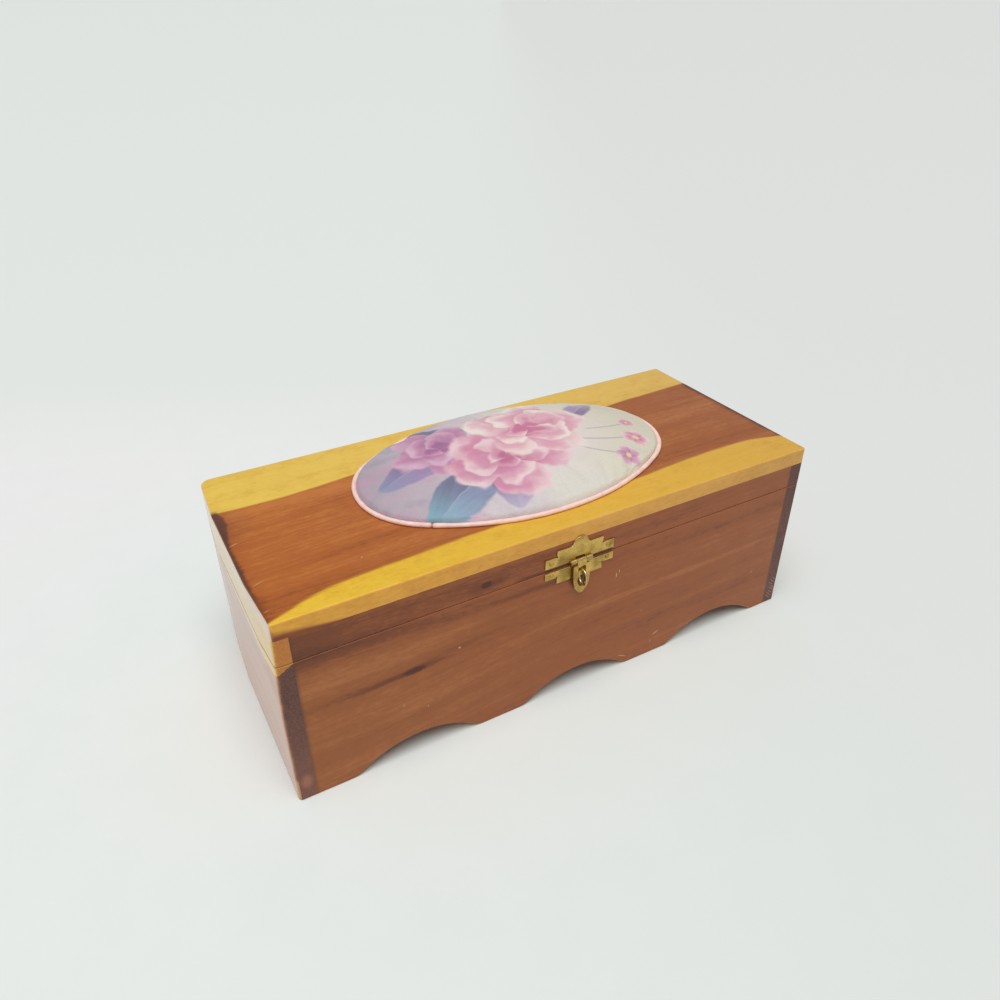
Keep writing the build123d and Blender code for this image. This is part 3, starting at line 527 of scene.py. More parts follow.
mat_back = cedar("cedar_back", 0, 2, 1, (-70.0, 90.0), 21.3, marks=back_marks, heart=back_heart, tone=0.0,
                 inner=lambda g, p, n: g.mx(g.step(n[1], -0.5, -0.8), g.step(g.ab(n[2]), 0.6, 0.9)), ring=2.6,
                 contrast=0.8)
paint("back_panel", mat_back)
paint("lid_back_rail", mat_back)


# -- the ends: their grain runs front to back, so the front shows their end grain
def left_heart(g, p, nrm, wander):
    y = g.sub(p[1], FRONT)
    inward = g.sub(p[0], LEFT)
    edge = g.mad(inward, 0.62, g.mad(g.step(y, 10.0, 110.0), 4.0, 71.8))
    d = g.sub(edge, p[2])
    ragged = g.sub(g.noise(g.mul(p[1], 1 / 12), g.mul(p[2], 1 / 1.3), g.mul(p[0], 1 / 2), 3.0), 0.5)
    return g.step(g.mad(ragged, 1.4, g.mad(wander, 1.2, d)), -0.7, 0.7)


def left_marks(g, p, nrm):
    q = g.sub(TOP, p[2])
    y = g.sub(p[1], FRONT)
    inward = g.sub(p[0], LEFT)
    dark = g.mul(g.blob(y, q, 84.0, 38.0, 12.0, 5.0, 0.9), 0.3)
    light = g.mul(g.blob(y, q, 10.0, 95.0, 20.0, 14.0, 1.0), 0.06)
    soil = g.m("ADD", g.mul(g.blob(inward, q, 4.6, 88.0, 3.8, 6.0, 1.0), 0.9), g.mul(g.step(q, 34.0, 92.0), 0.32), clamp=True)
    line = g.mul(g.step(g.ab(g.sub(p[2], SAW)), 0.60, 0.35), g.step(nrm[0], -0.2, -0.5))
    return {"dark": dark, "light": light, "soil": soil, "stain_and_shade": g.mul(line, 0.50)}


mat_left = cedar("cedar_left_end", 1, 2, 0, (30.0, -180.0), 13.7, marks=left_marks, heart=left_heart, tone=0.12,
                 inner=lambda g, p, n: g.mx(g.step(n[0], 0.5, 0.8), g.step(g.ab(n[2]), 0.6, 0.9)), ring=1.9,
                 rough=0.30, coat=0.9, end_tones=((82, 51, 44), (118, 77, 64)), end_coat=0.02,
                 worn_k=0.35)
paint("left_end_panel", mat_left)
paint("lid_left_rail", mat_left)


def right_marks(g, p, nrm):
    q = g.sub(TOP, p[2])
    inward = g.sub(RIGHT, p[0])
    lean = g.mad(inward, 0.8, q)
    scratch = g.blob(inward, lean, 3.0, 92.0, 3.6, 0.45, 0.8)
    for at, mid in ((84.6, 2.4), (86.8, 3.4), (89.0, 4.4), (90.4, 2.4), (94.4, 3.8), (96.4, 4.4), (98.4, 5.0)):
        scratch = g.add(scratch, g.blob(inward, lean, mid, at, 3.2, 0.35, 0.8))
    return {"pale": g.mul(scratch, 0.42), "dark": g.mul(g.step(q, 44.0, 24.0), 0.1),
            "stain_and_shade": g.mul(g.step(g.ab(nrm[1]), 0.55, 0.85), g.mul(g.step(q, 42.0, 22.0), 0.30))}


mat_right = cedar("cedar_right_end", 1, 2, 0, (150.0, 60.0), 31.9, marks=right_marks, tone=-0.02,
                  inner=lambda g, p, n: g.mx(g.step(n[0], -0.5, -0.8), g.step(g.ab(n[2]), 0.6, 0.9)), ring=2.2,
                  end_tones=((86, 56, 52), (128, 89, 78)), worn_k=0.5)
paint("right_end_panel", mat_right)
paint("lid_right_rail", mat_right)

mat_bottom = cedar("cedar_bottom", 0, 1, 2, (40.0, -60.0), 44.2, tone=0.06, inner=lambda g, p, n: g.ab(n[2]), ring=2.8)
paint("bottom_board", mat_bottom)


# ================================================================ brass
def brass(name, seed, light=(0.71, 0.48, 0.130), rough=0.38, rub_k=0.5):
    """Stamped sheet brass: an all-over fine grain, grime in its hollows and a
    rubbed, brighter rim."""
    mat, g, shader = new_material(name)
    p, nrm = g.place()
    x, y, z = p
    cloud = g.noise(g.mad(x, 1 / 7.0, seed), g.mul(y, 1 / 7.0), g.mul(z, 1 / 7.0), 3.0, 0.55)
    speck = g.noise(g.mad(x, 1 / 0.5, seed), g.mul(y, 1 / 0.5), g.mul(z, 1 / 0.5), 3.0, 0.6)
    grain = g.noise(g.mad(x, 1 / 0.22, seed), g.mul(y, 1 / 0.22), g.mul(z, 1 / 0.22), 1.0, 0.5)
    bright = (*light, 1)
    dull = (light[0] * 0.60, light[1] * 0.56, light[2] * 0.52, 1)
    col = g.mix(g.step(cloud, 0.36, 0.68), bright, dull)
    pit = g.step(speck, 0.52, 0.72)
    col = g.mix(g.mul(pit, 0.60), col, (0.15, 0.09, 0.030, 1))
    # rubbed edges
    flat = g.mx(g.mx(g.ab(nrm[0]), g.ab(nrm[1])), g.ab(nrm[2]))
    rub = g.mul(g.step(flat, 0.97, 0.80), rub_k)
    col = g.mix(rub, col, (0.92, 0.76, 0.40, 1))
    g.put(shader.inputs["Base Color"], col)
    shader.inputs["Metallic"].default_value = 1.0
    g.put(shader.inputs["Roughness"], g.mad(pit, 0.18, g.mad(cloud, 0.16, rough - 0.08)))
    n = g.bump(g.mad(speck, 0.7, g.mul(grain, 0.5)), 0.05, 0.9)
    wave = g.noise(g.mad(x, 1 / 5.0, seed + 4), g.mul(y, 1 / 5.0), g.mul(z, 1 / 5.0), 1.0)
    n = g.bump(wave, 0.30, 0.5, n)
    g.put(shader.inputs["Normal"], n)
    return mat


mat_hasp = brass("brass_hasp", 1.3)
mat_strap = brass("brass_strap", 5.9, light=(0.74, 0.51, 0.15), rough=0.34)
mat_wire = brass("brass_wire", 9.1, light=(0.60, 0.42, 0.14), rough=0.32)
mat_hinge = brass("brass_hinge", 14.6, rough=0.36)
mat_nail = brass("brass_nail", 1.3, light=(0.66, 0.45, 0.125), rough=0.62, rub_k=0.0)
for n in ("hasp_upper_leaf", "hasp_lower_leaf"):
    paint(n, mat_hasp)
for n in ("hasp_box_nails", "hasp_lid_nails"):
    paint(n, mat_nail)
paint("hasp_strap", mat_strap)
paint("hasp_pin", mat_strap)
paint("hasp_staple", mat_wire)
for n in ("hinge_left_box_leaf", "hinge_left_lid_leaf", "hinge_left_pin", "hinge_right_box_leaf",
          "hinge_right_lid_leaf", "hinge_right_pin", "hinge_box_nails", "hinge_lid_nails"):
    paint(n, mat_hinge)


# ================================================================ the pad
def oval_point(theta, inset):
    """Point of the four-arc oval in the direction theta, inset from the
    piping's centreline, about the pad's middle, in mm."""
    a, b, r1 = PAD_A, PAD_B, PAD_END_R
    r2 = (a * a - 2 * a * r1 + b * b) / (2 * (b - r1))
    c1, c2 = a - r1, r2 - b
    d = np.array([math.cos(theta), math.sin(theta)])
    turn = math.atan2(c2, c1)
    # first try the end arc, then the side arc
    for centre, r, end in (((math.copysign(c1, d[0]), 0.0), r1 - inset, True),
                           ((0.0, math.copysign(c2, -d[1])), r2 - inset, False)):
        c = np.array(centre)
        k = d @ c
        disc = k * k - (c @ c - r * r)
        if disc < 0:
            continue
        t = k + math.sqrt(disc)
        q = d * t - c
        ang = abs(math.atan2(q[1], abs(q[0]) if end and q[0] * d[0] > 0 else -abs(q[0]) if end else q[0]))
        if end and ang <= turn + 1e-9:
            return d * t
        if not end:
            return d * t
    return d * t


def pad_profile(rho):
    """Height above the lid of the pad's cloth, from its middle (0) to its rim (1)."""
    return 1.5 + 9.1 * np.maximum(0.0, 1 - rho ** 2) ** 0.36


def smooth_all(obj):
    obj.data.polygons.foreach_set("use_smooth", [True] * len(obj.data.polygons))


def make_mesh(name, verts, faces, mm=True):
    me = bpy.data.meshes.new(name)
    k = 0.001 if mm else 1.0
    me.from_pydata([tuple(float(c) * k for c in v) for v in verts], [], faces)
    me.update()
    o = bpy.data.objects.new(name, me)
    scene.collection.objects.link(o)
    return o


def build_cushion():
    """Wadding under cloth: a domed sheet on a grid, its rim held, blown up
    tight by a cloth simulation, on a flat underside."""
    nx, ny = 84, 60
    start = 0.90
    top, idx = [], {}
    for j in range(ny + 1):
        for i in range(nx + 1):
            a, b = -1 + 2 * i / nx, -1 + 2 * j / ny
            # square to disc without a pole
            x, y = a * math.sqrt(1 - b * b / 2), b * math.sqrt(1 - a * a / 2)
            rho = min(1.0, math.hypot(x, y))
            th = math.atan2(y, x)
            edge = oval_point(th, 0.85)
            px, py = edge * rho
            idx[i, j] = len(top)
            top.append((PAD_C[0] + px, PAD_C[1] + py, TOP + start * float(pad_profile(rho))))
    faces = [(idx[i, j], idx[i + 1, j], idx[i + 1, j + 1], idx[i, j + 1]) for j in range(ny) for i in range(nx)]
    rim = [idx[i, 0] for i in range(nx)] + [idx[nx, j] for j in range(ny)] + [idx[i, ny] for i in range(nx, 0, -1)] + [idx[0, j] for j in range(ny, 0, -1)]
    o = make_mesh("pad_cloth", top, faces)
    pin = o.vertex_groups.new(name="pin")
    pin.add(rim, 1.0, "REPLACE")
    before = np.array([v.co for v in o.data.vertices])
    cloth = o.modifiers.new("cloth", "CLOTH")
    st = cloth.settings
    st.quality = 6
    st.mass = 0.2
    st.tension_stiffness = 18
    st.compression_stiffness = 18
    st.shear_stiffness = 8
    st.bending_stiffness = 0.35
    st.vertex_group_mass = "pin"
    st.use_pressure = True
    st.uniform_pressure_force = 4.0
    st.effector_weights.gravity = 0.0
    st.shrink_min = -0.012
    cloth.collision_settings.use_collision = False
    scene.frame_start, scene.frame_end = 1, 20
    cloth.point_cache.frame_start, cloth.point_cache.frame_end = 1, 20
    for f in range(1, 21):
        scene.frame_set(f)
    dg = bpy.context.evaluated_depsgraph_get()
    after = np.array([v.co for v in o.evaluated_get(dg).data.vertices])
    move = after - before
    length = np.linalg.norm(move, axis=1, keepdims=True)
    cap = 0.0009
    move *= np.minimum(1.0, cap / np.maximum(length, 1e-9))
    o.modifiers.remove(cloth)
    o.data.vertices.foreach_set("co", (before + move).astype(np.float32).ravel())
    scene.frame_set(1)
    # close it below, then one subdivision
    me = o.data
    n = len(me.vertices)
    co = [tuple(v.co) for v in me.vertices]
    skirt = []
    for drop, push in ((0.0009, -0.0002), (0.0016, -0.0010)):
        ring = []
        for k in rim:
            x, y, z = co[k]
            cx, cy = x - PAD_C[0] / 1000, y - PAD_C[1] / 1000
            h = math.hypot(cx, cy)
            ring.append(len(co))
            co.append((x + cx / h * push, y + cy / h * push, max(TOP / 1000 + 0.0001, z - drop)))
        skirt.append(ring)
    allf = [tuple(f.vertices) for f in me.polygons]
    prev = rim
    m = len(rim)
    for ring in skirt:
        for k in range(m):
            allf.append((prev[(k + 1) % m], prev[k], ring[k], ring[(k + 1) % m]))
        prev = ring
    allf.append(tuple(prev))
    me2 = bpy.data.meshes.new("pad_cloth_closed")
    me2.from_pydata(co, [], [f for f in allf])
    me2.update()
    o.vertex_groups.clear()
    o.data = me2
    sub = o.modifiers.new("sub", "SUBSURF")
    sub.levels = sub.render_levels = 1
    smooth_all(o)
    return o


def blossom(g, x, y, cx, cy, size, turn, tones, seed, ruffle=0.62):
    """A soft, full blossom in the manner of an airbrush: rings of broad
    petals, each petal pale at its lip, deep in its throat and shaded by its
    neighbour. Returns its colour and where it lies."""
    pale, mid, deep = tones
    w1 = g.sub(g.noise(g.mul(x, 1 / 19), g.mul(y, 1 / 19), seed, 2.0), 0.5)
    w2 = g.sub(g.noise(g.mul(x, 1 / 19), g.mul(y, 1 / 19), seed + 40.0, 2.0), 0.5)
    dx = g.mad(w1, ruffle * size, g.sub(x, cx))
    dy = g.mad(w2, ruffle * size, g.sub(y, cy))
    rr = g.mul(g.hyp(dx, dy), 1.0 / size)
    th = g.add(g.m("ARCTAN2", dy, dx), turn + math.pi)
    brush = g.sub(g.noise(g.mul(x, 1 / 7), g.mul(y, 1 / 7), seed + 9.0, 3.0, 0.55), 0.5)
    out = mask = None
    for k, (scale, petals, off, low, high, soft) in enumerate((
            (1.00, 5, 0.0, 0.22, 0.95, 0.07), (0.66, 4, 0.9, 0.02, 0.98, 0.07), (0.36, 3, 0.3, -0.20, 0.70, 0.12))):
        a = g.m("FRACT", g.mul(g.add(th, off), petals / (2 * math.pi)))
        c = g.sin(g.mul(a, math.pi))
        reach = g.mul(g.mad(g.pw(g.mx(c, 0.001), 0.8), 0.32, 0.68), scale)
        q = g.div(rr, reach)
        inside = g.step(q, 1.0 + soft * 0.6, 1.0 - soft)
        # 0 deep in the throat, 1 at the lip; the side under the next petal is deeper
        tone = g.mad(g.pw(q, 1.6), high - low, low)
        tone = g.mad(g.sub(a, 0.5), 0.70, tone)
        tone = g.mad(brush, 0.70, tone)
        pet = g.ramp(tone, (0.0, deep), (0.42, mid), (1.0, pale))
        if out is None:
            out, mask = pet, inside
        else:
            shadow = g.mul(g.step(q, 1.7, 0.9), 0.50)
            out = g.mix(shadow, out, g.mix(0.45, mid, deep))
            out = g.mix(inside, out, pet)
    return out, mask


def floret(g, x, y, cx, cy, size, turn, tones):
    """A small open flower of five round petals with a cream eye."""
    pale, mid, deep = tones
    wob = g.sub(g.noise(g.mul(x, 1 / 5), g.mul(y, 1 / 5), cx, 2.0), 0.5)
    dx, dy = g.mad(wob, 1.6, g.sub(x, cx)), g.mad(wob, -1.2, g.sub(y, cy))
    rr = g.mul(g.hyp(dx, dy), 1.0 / size)
    a = g.m("FRACT", g.mul(g.add(g.m("ARCTAN2", dy, dx), turn + math.pi), 5 / (2 * math.pi)))
    c = g.sin(g.mul(a, math.pi))
    q = g.div(rr, g.mad(g.pw(g.mx(c, 0.001), 0.6), 0.42, 0.58))
    tone = g.mad(g.step(c, 0.5, 0.0), -0.5, g.mad(g.pw(q, 1.5), 0.7, 0.25))
    tone = g.mad(wob, 0.5, g.mad(g.sub(a, 0.5), 0.25, tone))
    col = g.ramp(tone, (0.0, deep), (0.45, mid), (1.0, pale))
    col = g.mix(g.step(rr, 0.30, 0.14), col, lin(228, 204, 158))
    return col, g.step(q, 1.08, 0.90)


def leaf(g, x, y, bx, by, angle, length, width, dark_c, light_c, tip_c, seed, bend=0.0):
    """A broad, soft leaf from its stalk at (bx, by), lighter on one side of a
    faint rib and turning to another colour at its tip."""
    ca, sa = math.cos(angle), math.sin(angle)
    wob = g.sub(g.noise(g.mul(x, 1 / 9), g.mul(y, 1 / 9), seed, 3.0), 0.5)
    dx, dy = g.sub(x, bx), g.sub(y, by)
    u = g.mul(g.mad(dx, ca, g.mul(dy, sa)), 1.0 / length)
    v = g.mad(dy, ca, g.mul(dx, -sa))
    v = g.mad(g.mul(u, u), bend, g.mad(wob, 4.0, v))
    uc = g.m("MINIMUM", g.mx(u, 0.0), 1.0)
    half = g.mul(g.pw(g.mx(g.sin(g.mul(g.pw(uc, 0.8), math.pi)), 0.0), 0.7), width)
    inside = g.mul(g.step(g.sub(half, g.ab(v)), -0.9, 1.1), g.mul(g.step(u, -0.02, 0.06), g.step(u, 1.02, 0.94)))
    side = g.step(v, -0.7, 0.9)
    vein = g.sub(g.noise(g.mad(g.ab(v), 0.30, g.mul(u, 5.0)), g.mul(v, 0.10), seed, 2.0), 0.5)
    col = g.mix(g.mad(vein, 0.9, g.mad(side, 0.60, 0.12)), dark_c, light_c)
    col = g.mix(g.mul(g.step(u, 0.35, 1.0), 0.75), col, tip_c)
    rib = g.mul(g.step(g.ab(v), 0.7, 0.1), g.step(u, 1.0, 0.5))
    col = g.mix(g.mul(rib, 0.30), col, lin(206, 204, 222))
    return col, inside


def make_print():
    """Printed cotton: an airbrushed spray of full blossoms and broad leaves on
    a ground that goes from lavender to cream."""
    mat, g, shader = new_material("pad_print")
    p, nrm = g.place()
    x, y = g.sub(p[0], PAD_C[0]), g.sub(p[1], PAD_C[1])
    blur = g.sub(g.noise(g.mul(x, 1 / 26), g.mul(y, 1 / 26), 2.0, 3.0), 0.5)
    xx = g.mad(blur, 40.0, g.mad(y, -0.15, x))
    ground = g.ramp(g.mad(xx, 1 / 170, 0.5), (0.0, lin(176, 160, 172)), (0.20, lin(190, 176, 186)), (0.38, lin(210, 200, 204)),
                    (0.58, lin(220, 215, 205)), (0.80, lin(218, 211, 192)), (1.0, lin(210, 204, 185)))
    haze = g.noise(g.mul(x, 1 / 16), g.mul(y, 1 / 16), 7.0, 3.0)
    ground = g.mix(g.mul(g.step(haze, 0.50, 0.72), g.mul(g.step(x, 20.0, -70.0), 0.7)), ground, lin(206, 150, 184))
    ground = g.mix(g.mul(g.step(haze, 0.50, 0.30), g.mul(g.step(x, 10.0, -75.0), 0.4)), ground, lin(136, 134, 162))
    col = ground
    slate, sky, aqua = lin(96, 98, 132), lin(136, 152, 184), lin(138, 196, 208)
    plum, lilac, mist = lin(122, 94, 140), lin(170, 144, 186), lin(192, 184, 206)
    # a pale bloom of air behind the flowers
    halo = g.step(g.hyp(g.mul(g.sub(x, 12.0), 1 / 52), g.mul(g.add(y, 2.0), 1 / 40)), 1.0, 0.3)
    col = g.mix(g.mul(halo, 0.55), col, lin(232, 216, 222))
    # stems
    for (x0, y0, x1, y1, sag, wd) in ((22, -4, 60, -20, 4, 0.5), (20, -8, 46, -33, 3, 0.45), (40, -4, 66, -4, 2.5, 0.4)):
        length = math.hypot(x1 - x0, y1 - y0)
        ca, sa = (x1 - x0) / length, (y1 - y0) / length
        dx, dy = g.sub(x, x0), g.sub(y, y0)
        u = g.mul(g.mad(dx, ca, g.mul(dy, sa)), 1 / length)
        v = g.mad(dy, ca, g.mul(dx, -sa))
        uc = g.m("MINIMUM", g.mx(u, 0.0), 1.0)
        v = g.mad(g.mul(g.mul(uc, g.inv(uc)), 4.0), sag, v)
        on = g.mul(g.step(g.ab(v), wd + 0.5, wd * 0.3), g.mul(g.step(u, 0.0, 0.02), g.step(u, 1.0, 0.97)))
        col = g.mix(g.mul(on, 0.45), col, lin(140, 128, 150))
    leaves = (
        (-14, 22, 2.85, 52, 12.0, slate, sky, mist, 1.0, 3.0), (-34, 6, 3.30, 40, 10.5, plum, lilac, sky, 8.0, -3.0),
        (-22, -14, 3.78, 50, 12.5, slate, sky, aqua, 7.0, 5.0), (-14, -18, 4.35, 30, 9.5, plum, lilac, mist, 6.0, -2.0),
        (40, 10, 0.75, 30, 7.0, plum, lilac, mist, 3.0, 3.0))
    for bx, by, an, ln, wd, dc, lc, tc, sd, bend in leaves:
        c, m = leaf(g, x, y, bx, by, an, ln, wd, dc, lc, tc, sd, bend)
        col = g.mix(g.mul(m, 0.88), col, c)
    rose = (lin(240, 210, 214), lin(217, 146, 172), lin(191, 100, 140))
    mauve = (lin(222, 182, 202), lin(200, 138, 172), lin(165, 100, 150))
    blush = (lin(244, 230, 222), lin(228, 170, 186), lin(202, 112, 148))
    flowers = (
        (-34, 14, 26.0, 0.4, mauve, 31.0, 0.62), (-10, -10, 33.0, 1.6, rose, 32.0, 0.62),
        (16, 12, 33.0, 2.5, blush, 33.0, 0.62))
    for cx, cy, sz, tn, tones, sd, rf in flowers:
        c, m = blossom(g, x, y, cx, cy, sz, tn, tones, sd, rf)
        col = g.mix(g.mul(m, 0.92), col, c)
    for cx, cy, sz, tn, tones in ((60, -20, 7.6, 0.4, rose), (46, -33, 6.6, 1.1, mauve), (66, -4, 5.2, 0.8, rose)):
        c, m = floret(g, x, y, cx, cy, sz, tn, tones)
        col = g.mix(g.mul(m, 0.90), col, c)
    # the cloth: thread over and under thread, and slubs that take less ink
    pitch = 0.62
    sx, sy = g.sin(g.mul(x, 2 * math.pi / pitch)), g.sin(g.mul(y, 2 * math.pi / pitch))
    weave = g.mul(sx, sy)
    speck = g.noise(g.mul(x, 1 / 0.5), g.mul(y, 1 / 0.5), 0.0, 2.0, 0.7)
    thread = g.noise(g.mul(x, 1 / 5.0), g.mul(y, 1 / 0.5), 3.0, 2.0)
    thread2 = g.noise(g.mul(x, 1 / 0.5), g.mul(y, 1 / 5.0), 5.0, 2.0)
    lum = g.mad(g.sub(speck, 0.5), 0.46, g.mad(weave, 0.04, 1.0))
    lum = g.mad(g.sub(thread, 0.5), 0.09, lum)
    lum = g.mad(g.sub(thread2, 0.5), 0.09, lum)
    grey = g.node("ShaderNodeCombineColor")
    for i in range(3):
        g.put(grey.inputs[i], lum)
    col = g.mix(1.0, col, grey.outputs[0], "MULTIPLY")
    g.put(shader.inputs["Base Color"], col)
    g.put(shader.inputs["Roughness"], g.mad(speck, 0.15, 0.72))
    shader.inputs["Sheen Weight"].default_value = 0.25
    shader.inputs["Sheen Roughness"].default_value = 0.45
    h = g.mad(weave, 0.5, g.mad(thread, 0.6, g.mad(thread2, 0.6, g.mul(speck, 0.5))))
    g.put(shader.inputs["Normal"], g.bump(h, 0.07, 0.9))
    return mat


def build_piping():
    """The pink piping: a covered cord laid round the pad, its two ends meeting
    at the front left."""
    n, k = 900, 20
    join = math.atan2(29.7 - 58.2 - PAD_C[1], 82.5 - 139.7 - PAD_C[0])
    pts = []
    for i in range(n):
        th = join + 2 * math.pi * i / n
        pts.append(oval_point(th, 0.0))
    pts = np.array(pts)
    # even spacing along the oval
    seg = np.linalg.norm(np.roll(pts, -1, 0) - pts, axis=1)
    s = np.concatenate([[0], np.cumsum(seg)])
    closed = np.vstack([pts, pts[:1]])
    total = s[-1]
    want = np.arange(n) / n * total
    path = np.stack([np.interp(want, s, closed[:, c]) for c in range(2)], 1)
    rng = np.random.default_rng(11)
    amp = [(rng.uniform(0.004, 0.018), int(f), rng.uniform(0, 6.28)) for f in rng.integers(5, 60, 14)]
    verts, uvs, faces = [], [], []
    for i in range(n):
        t = (path[(i + 1) % n] - path[i - 1])
        t /= np.linalg.norm(t)
        out = np.array([t[1], -t[0]])
        f = want[i] / total
        r = CORD_R * (1 + sum(a * math.sin(2 * math.pi * q * f + ph) for a, q, ph in amp))
        gap = min(want[i], total - want[i])
        r *= 1 - 0.30 * math.exp(-(gap / 0.42) ** 2) + 0.08 * math.exp(-((gap - 1.6) / 1.0) ** 2)
        side = 0.10 * math.sin(2 * math.pi * 3 * f + 1) + 0.06 * math.sin(2 * math.pi * 11 * f)
        side += 0.25 * math.exp(-(want[i] / 2.5) ** 2)
        for j in range(k):
            a = 2 * math.pi * j / k
            lift = math.sin(a)
            # the seam side lies flatter against the cushion
            rx = r * (1.0 + (0.10 if math.cos(a) < 0 else 0.0) * abs(math.cos(a)))
            px = path[i] + out * (side + 0.08 + rx * math.cos(a))
            z = TOP + max(0.02, CORD_R - 0.03 + r * lift)
            verts.append((PAD_C[0] + px[0], PAD_C[1] + px[1], z))
    for i in range(n):
        for j in range(k):
            a, b = i * k + j, i * k + (j + 1) % k
            c, d = ((i + 1) % n) * k + (j + 1) % k, ((i + 1) % n) * k + j
            faces.append((a, d, c, b))
    o = make_mesh("pad_piping_cord", verts, faces)
    uv = o.data.uv_layers.new(name="UVMap")
    data = np.zeros((len(o.data.loops), 2), np.float32)
    li = 0
    for i in range(n):
        for j in range(k):
            for (ii, jj) in ((i, j), (i + 1, j), (i + 1, j + 1), (i, j + 1)):
                data[li] = (ii / n * total, jj / k)
                li += 1
    uv.data.foreach_set("uv", data.ravel())
    smooth_all(o)
    mat, g, shader = new_material("piping_cotton")
    uvn = g.node("ShaderNodeUVMap", uv_map="UVMap")
    sep = g.node("ShaderNodeSeparateXYZ")
    g.put(sep.inputs[0], uvn.outputs[0])
    su, sv = sep.outputs[0], sep.outputs[1]
    p, nrm = g.place()
    # bias-cut cloth: its threads run askew to the cord
    around = g.mul(sv, 2 * math.pi)
    d1 = g.sin(g.mad(su, 2 * math.pi / 0.8, g.mul(around, 3.0)))
    d2 = g.sin(g.mad(su, 2 * math.pi / 0.8, g.mul(around, -3.0)))
    weave = g.mul(d1, d2)
    tone = g.noise(g.mul(p[0], 1 / 3), g.mul(p[1], 1 / 3), g.mul(p[2], 1 / 3), 3.0)
    speck = g.noise(g.mul(p[0], 1 / 0.4), g.mul(p[1], 1 / 0.4), g.mul(p[2], 1 / 0.4), 2.0)
    col = g.ramp(g.mad(g.sub(speck, 0.5), 0.5, tone), (0.25, lin(242, 196, 186)), (0.5, lin(250, 214, 204)), (0.8, lin(255, 232, 222)))
    col = g.mix(g.mul(g.step(weave, 0.2, -0.8), 0.10), col, lin(214, 150, 142))
    gap = g.mn(su, g.sub(float(total), su))
    col = g.mix(g.mul(g.step(gap, 0.7, 0.15), 0.85), col, lin(168, 122, 84))
    col = g.mix(g.mul(g.step(gap, 2.6, 0.6), 0.18), col, lin(212, 150, 120))
    # painted shade: the cord's underside, where it lies on the lid, is darkened
    low = g.step(p[2], TOP + 0.9, TOP)
    col = g.mix(g.mul(low, 0.4), col, lin(176, 100, 92))
    g.put(shader.inputs["Base Color"], col)
    g.put(shader.inputs["Roughness"], g.mad(speck, 0.2, 0.6))
    shader.inputs["Sheen Weight"].default_value = 0.3
    shader.inputs["Sheen Roughness"].default_value = 0.4
    g.put(shader.inputs["Normal"], g.bump(g.mad(weave, 0.3, speck), 0.06, 0.8))
    o.data.materials.append(mat)
    return o


cushion = build_cushion()
cushion.name = "pad_cloth"
cushion.data.materials.append(make_print())
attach(cushion, "lid")
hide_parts("pad_cushion")

piping = build_piping()
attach(piping, "lid")
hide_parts("pad_piping")

# the backing board, of which only a dark line could ever show
mat_card, g, shader = new_material("pad_backing")
p, nrm = g.place()
pulp = g.noise(g.mul(p[0], 1 / 1.5), g.mul(p[1], 1 / 1.5), g.mul(p[2], 1 / 1.5), 4.0, 0.7)
g.put(shader.inputs["Base Color"], g.ramp(pulp, (0.3, lin(120, 96, 78)), (0.7, lin(158, 132, 108))))
g.put(shader.inputs["Roughness"], g.mad(pulp, 0.2, 0.75))
g.put(shader.inputs["Normal"], g.bump(pulp, 0.1, 0.5))
paint("pad_card", mat_card)

# ================================================================ stage
bpy.ops.mesh.primitive_plane_add(size=400.0, location=(0, 0, -0.0001))
floor = bpy.context.object
floor.name = "floor"
mat_floor, g, shader = new_material("floor_paper")
tc = g.node("ShaderNodeTexCoord")
sep = g.node("ShaderNodeSeparateXYZ")
g.put(sep.inputs[0], tc.outputs["Object"])
n = g.node("ShaderNodeTexNoise")
n.inputs["Scale"].default_value = 40.0
n.inputs["Detail"].default_value = 3.0
g.put(n.inputs["Vector"], tc.outputs["Object"])
paper = g.ramp(n.outputs[0], (0.2, (0.815, 0.825, 0.822, 1)), (0.8, (0.830, 0.840, 0.837, 1)))
# painted shade: the paper is painted a little darker far away behind the box, and darker towards the right, standing in
# for a less lit back wall
away = g.mad(sep.outputs[0], 0.49, g.mul(sep.outputs[1], 0.87))
paper = g.mix(g.step(away, 0.16, 0.34), paper, (0.775, 0.805, 0.785, 1))
across = g.mad(sep.outputs[0], 0.87, g.mul(sep.outputs[1], -0.49))
paper = g.mix(g.mul(g.step(across, -0.15, 0.30), 0.8), paper, (0.73, 0.75, 0.735, 1))
# painted light: a cool tint on the paper near the box cancels the warm light bounced onto it from the wood
painted_bounce_tint = g.step(g.hyp(g.add(sep.outputs[0], 0.06), g.add(sep.outputs[1], 0.03)), 0.33, 0.14)
paper = g.mix(painted_bounce_tint, paper, g.mix(1.0, paper, (0.962, 1.008, 0.998, 1), "MULTIPLY"))
g.put(shader.inputs["Base Color"], paper)
shader.inputs["Roughness"].default_value = 0.85
shader.inputs["Specular IOR Level"].default_value = 0.2
floor.data.materials.append(mat_floor)

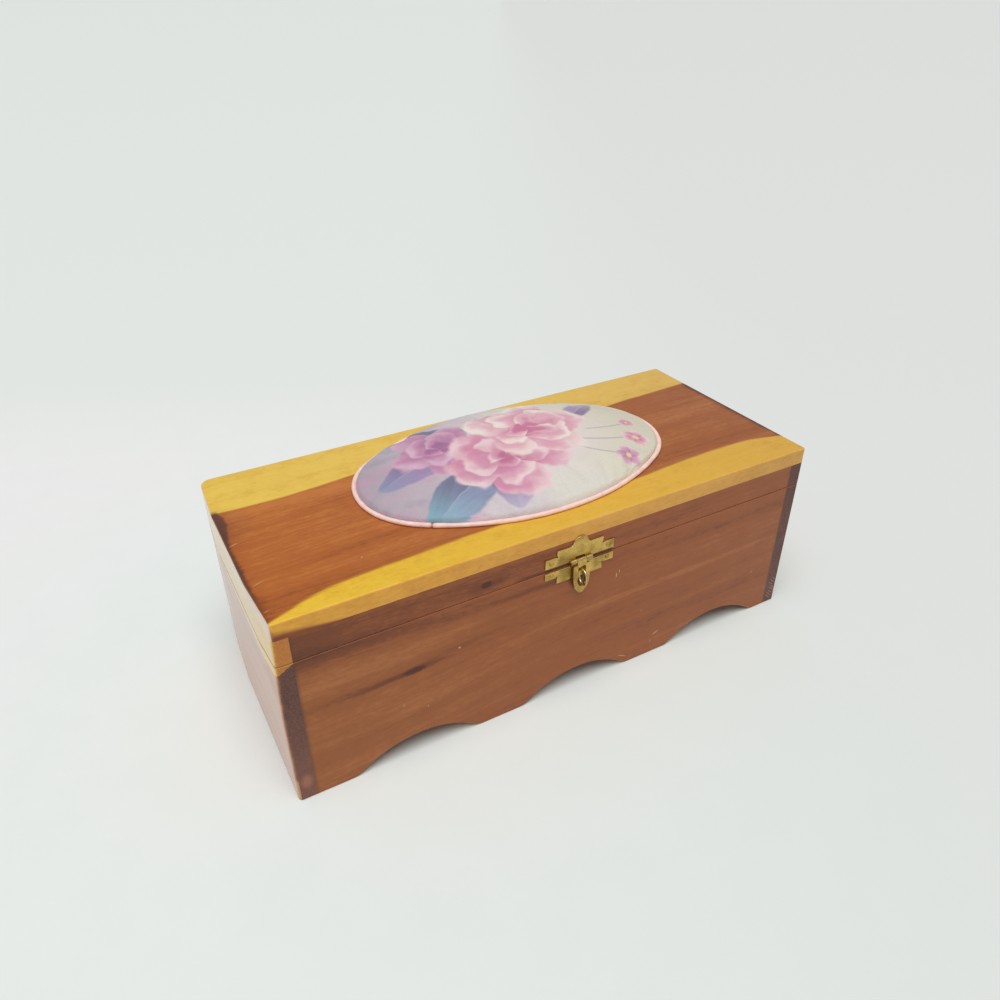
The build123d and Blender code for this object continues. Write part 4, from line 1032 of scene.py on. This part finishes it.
# ================================================================ camera
CAM = dict(f=801.278, pitch=0.5589, yaw=0.5107, roll=-0.0048)
cam_data = bpy.data.cameras.new("camera")
cam_data.sensor_width = 36.0
cam_data.sensor_fit = "HORIZONTAL"
cam_data.lens = CAM["f"] / 1000 * 36.0
cam_data.clip_start, cam_data.clip_end = 0.01, 500
cam = bpy.data.objects.new("camera", cam_data)
scene.collection.objects.link(cam)
sy, cy = math.sin(CAM["yaw"]), math.cos(CAM["yaw"])
sp, cp = math.sin(CAM["pitch"]), math.cos(CAM["pitch"])
fwd = Vector((sy * cp, cy * cp, -sp))
right = Vector((cy, -sy, 0.0))
up = right.cross(fwd)
cr, sr = math.cos(CAM["roll"]), math.sin(CAM["roll"])
right2 = right * cr + up * sr
up2 = -right * sr + up * cr
place = Vector((-0.1212 * 279.4 + LEFT, -0.8540 * 279.4 + FRONT, 1.0518 * 279.4)) / 1000
cam.matrix_world = Matrix(((right2.x, up2.x, -fwd.x, place.x), (right2.y, up2.y, -fwd.y, place.y),
                           (right2.z, up2.z, -fwd.z, place.z), (0, 0, 0, 1)))
scene.camera = cam


# ================================================================ light
def sun(name, towards, strength, angle, colour=(1, 1, 1)):
    """A broad, soft lamp in the direction towards, seen from the box."""
    d = bpy.data.lights.new(name, "SUN")
    d.energy = strength
    d.angle = math.radians(angle)
    d.color = colour
    o = bpy.data.objects.new(name, d)
    scene.collection.objects.link(o)
    o.rotation_mode = "QUATERNION"
    o.rotation_quaternion = Vector(towards).to_track_quat("Z", "Y")
    return o


sun("key", (-0.151, -0.269, 0.951), 2.42, 46, (1.0, 0.992, 0.975))
world = bpy.data.worlds.new("studio")
scene.world = world
world.use_nodes = True
bg = world.node_tree.nodes["Background"]
bg.inputs[1].default_value = 0.27
# the far paper goes on as a thin bright band on the horizon
g = Net(world.node_tree)
sep = g.node("ShaderNodeSeparateXYZ")
g.put(sep.inputs[0], g.node("ShaderNodeTexCoord").outputs["Generated"])
band = g.step(g.ab(sep.outputs[2]), 0.030, 0.012)
g.put(bg.inputs[0], g.mix(band, (0.96, 0.985, 1.0, 1), (2.70, 2.83, 2.74, 1)))
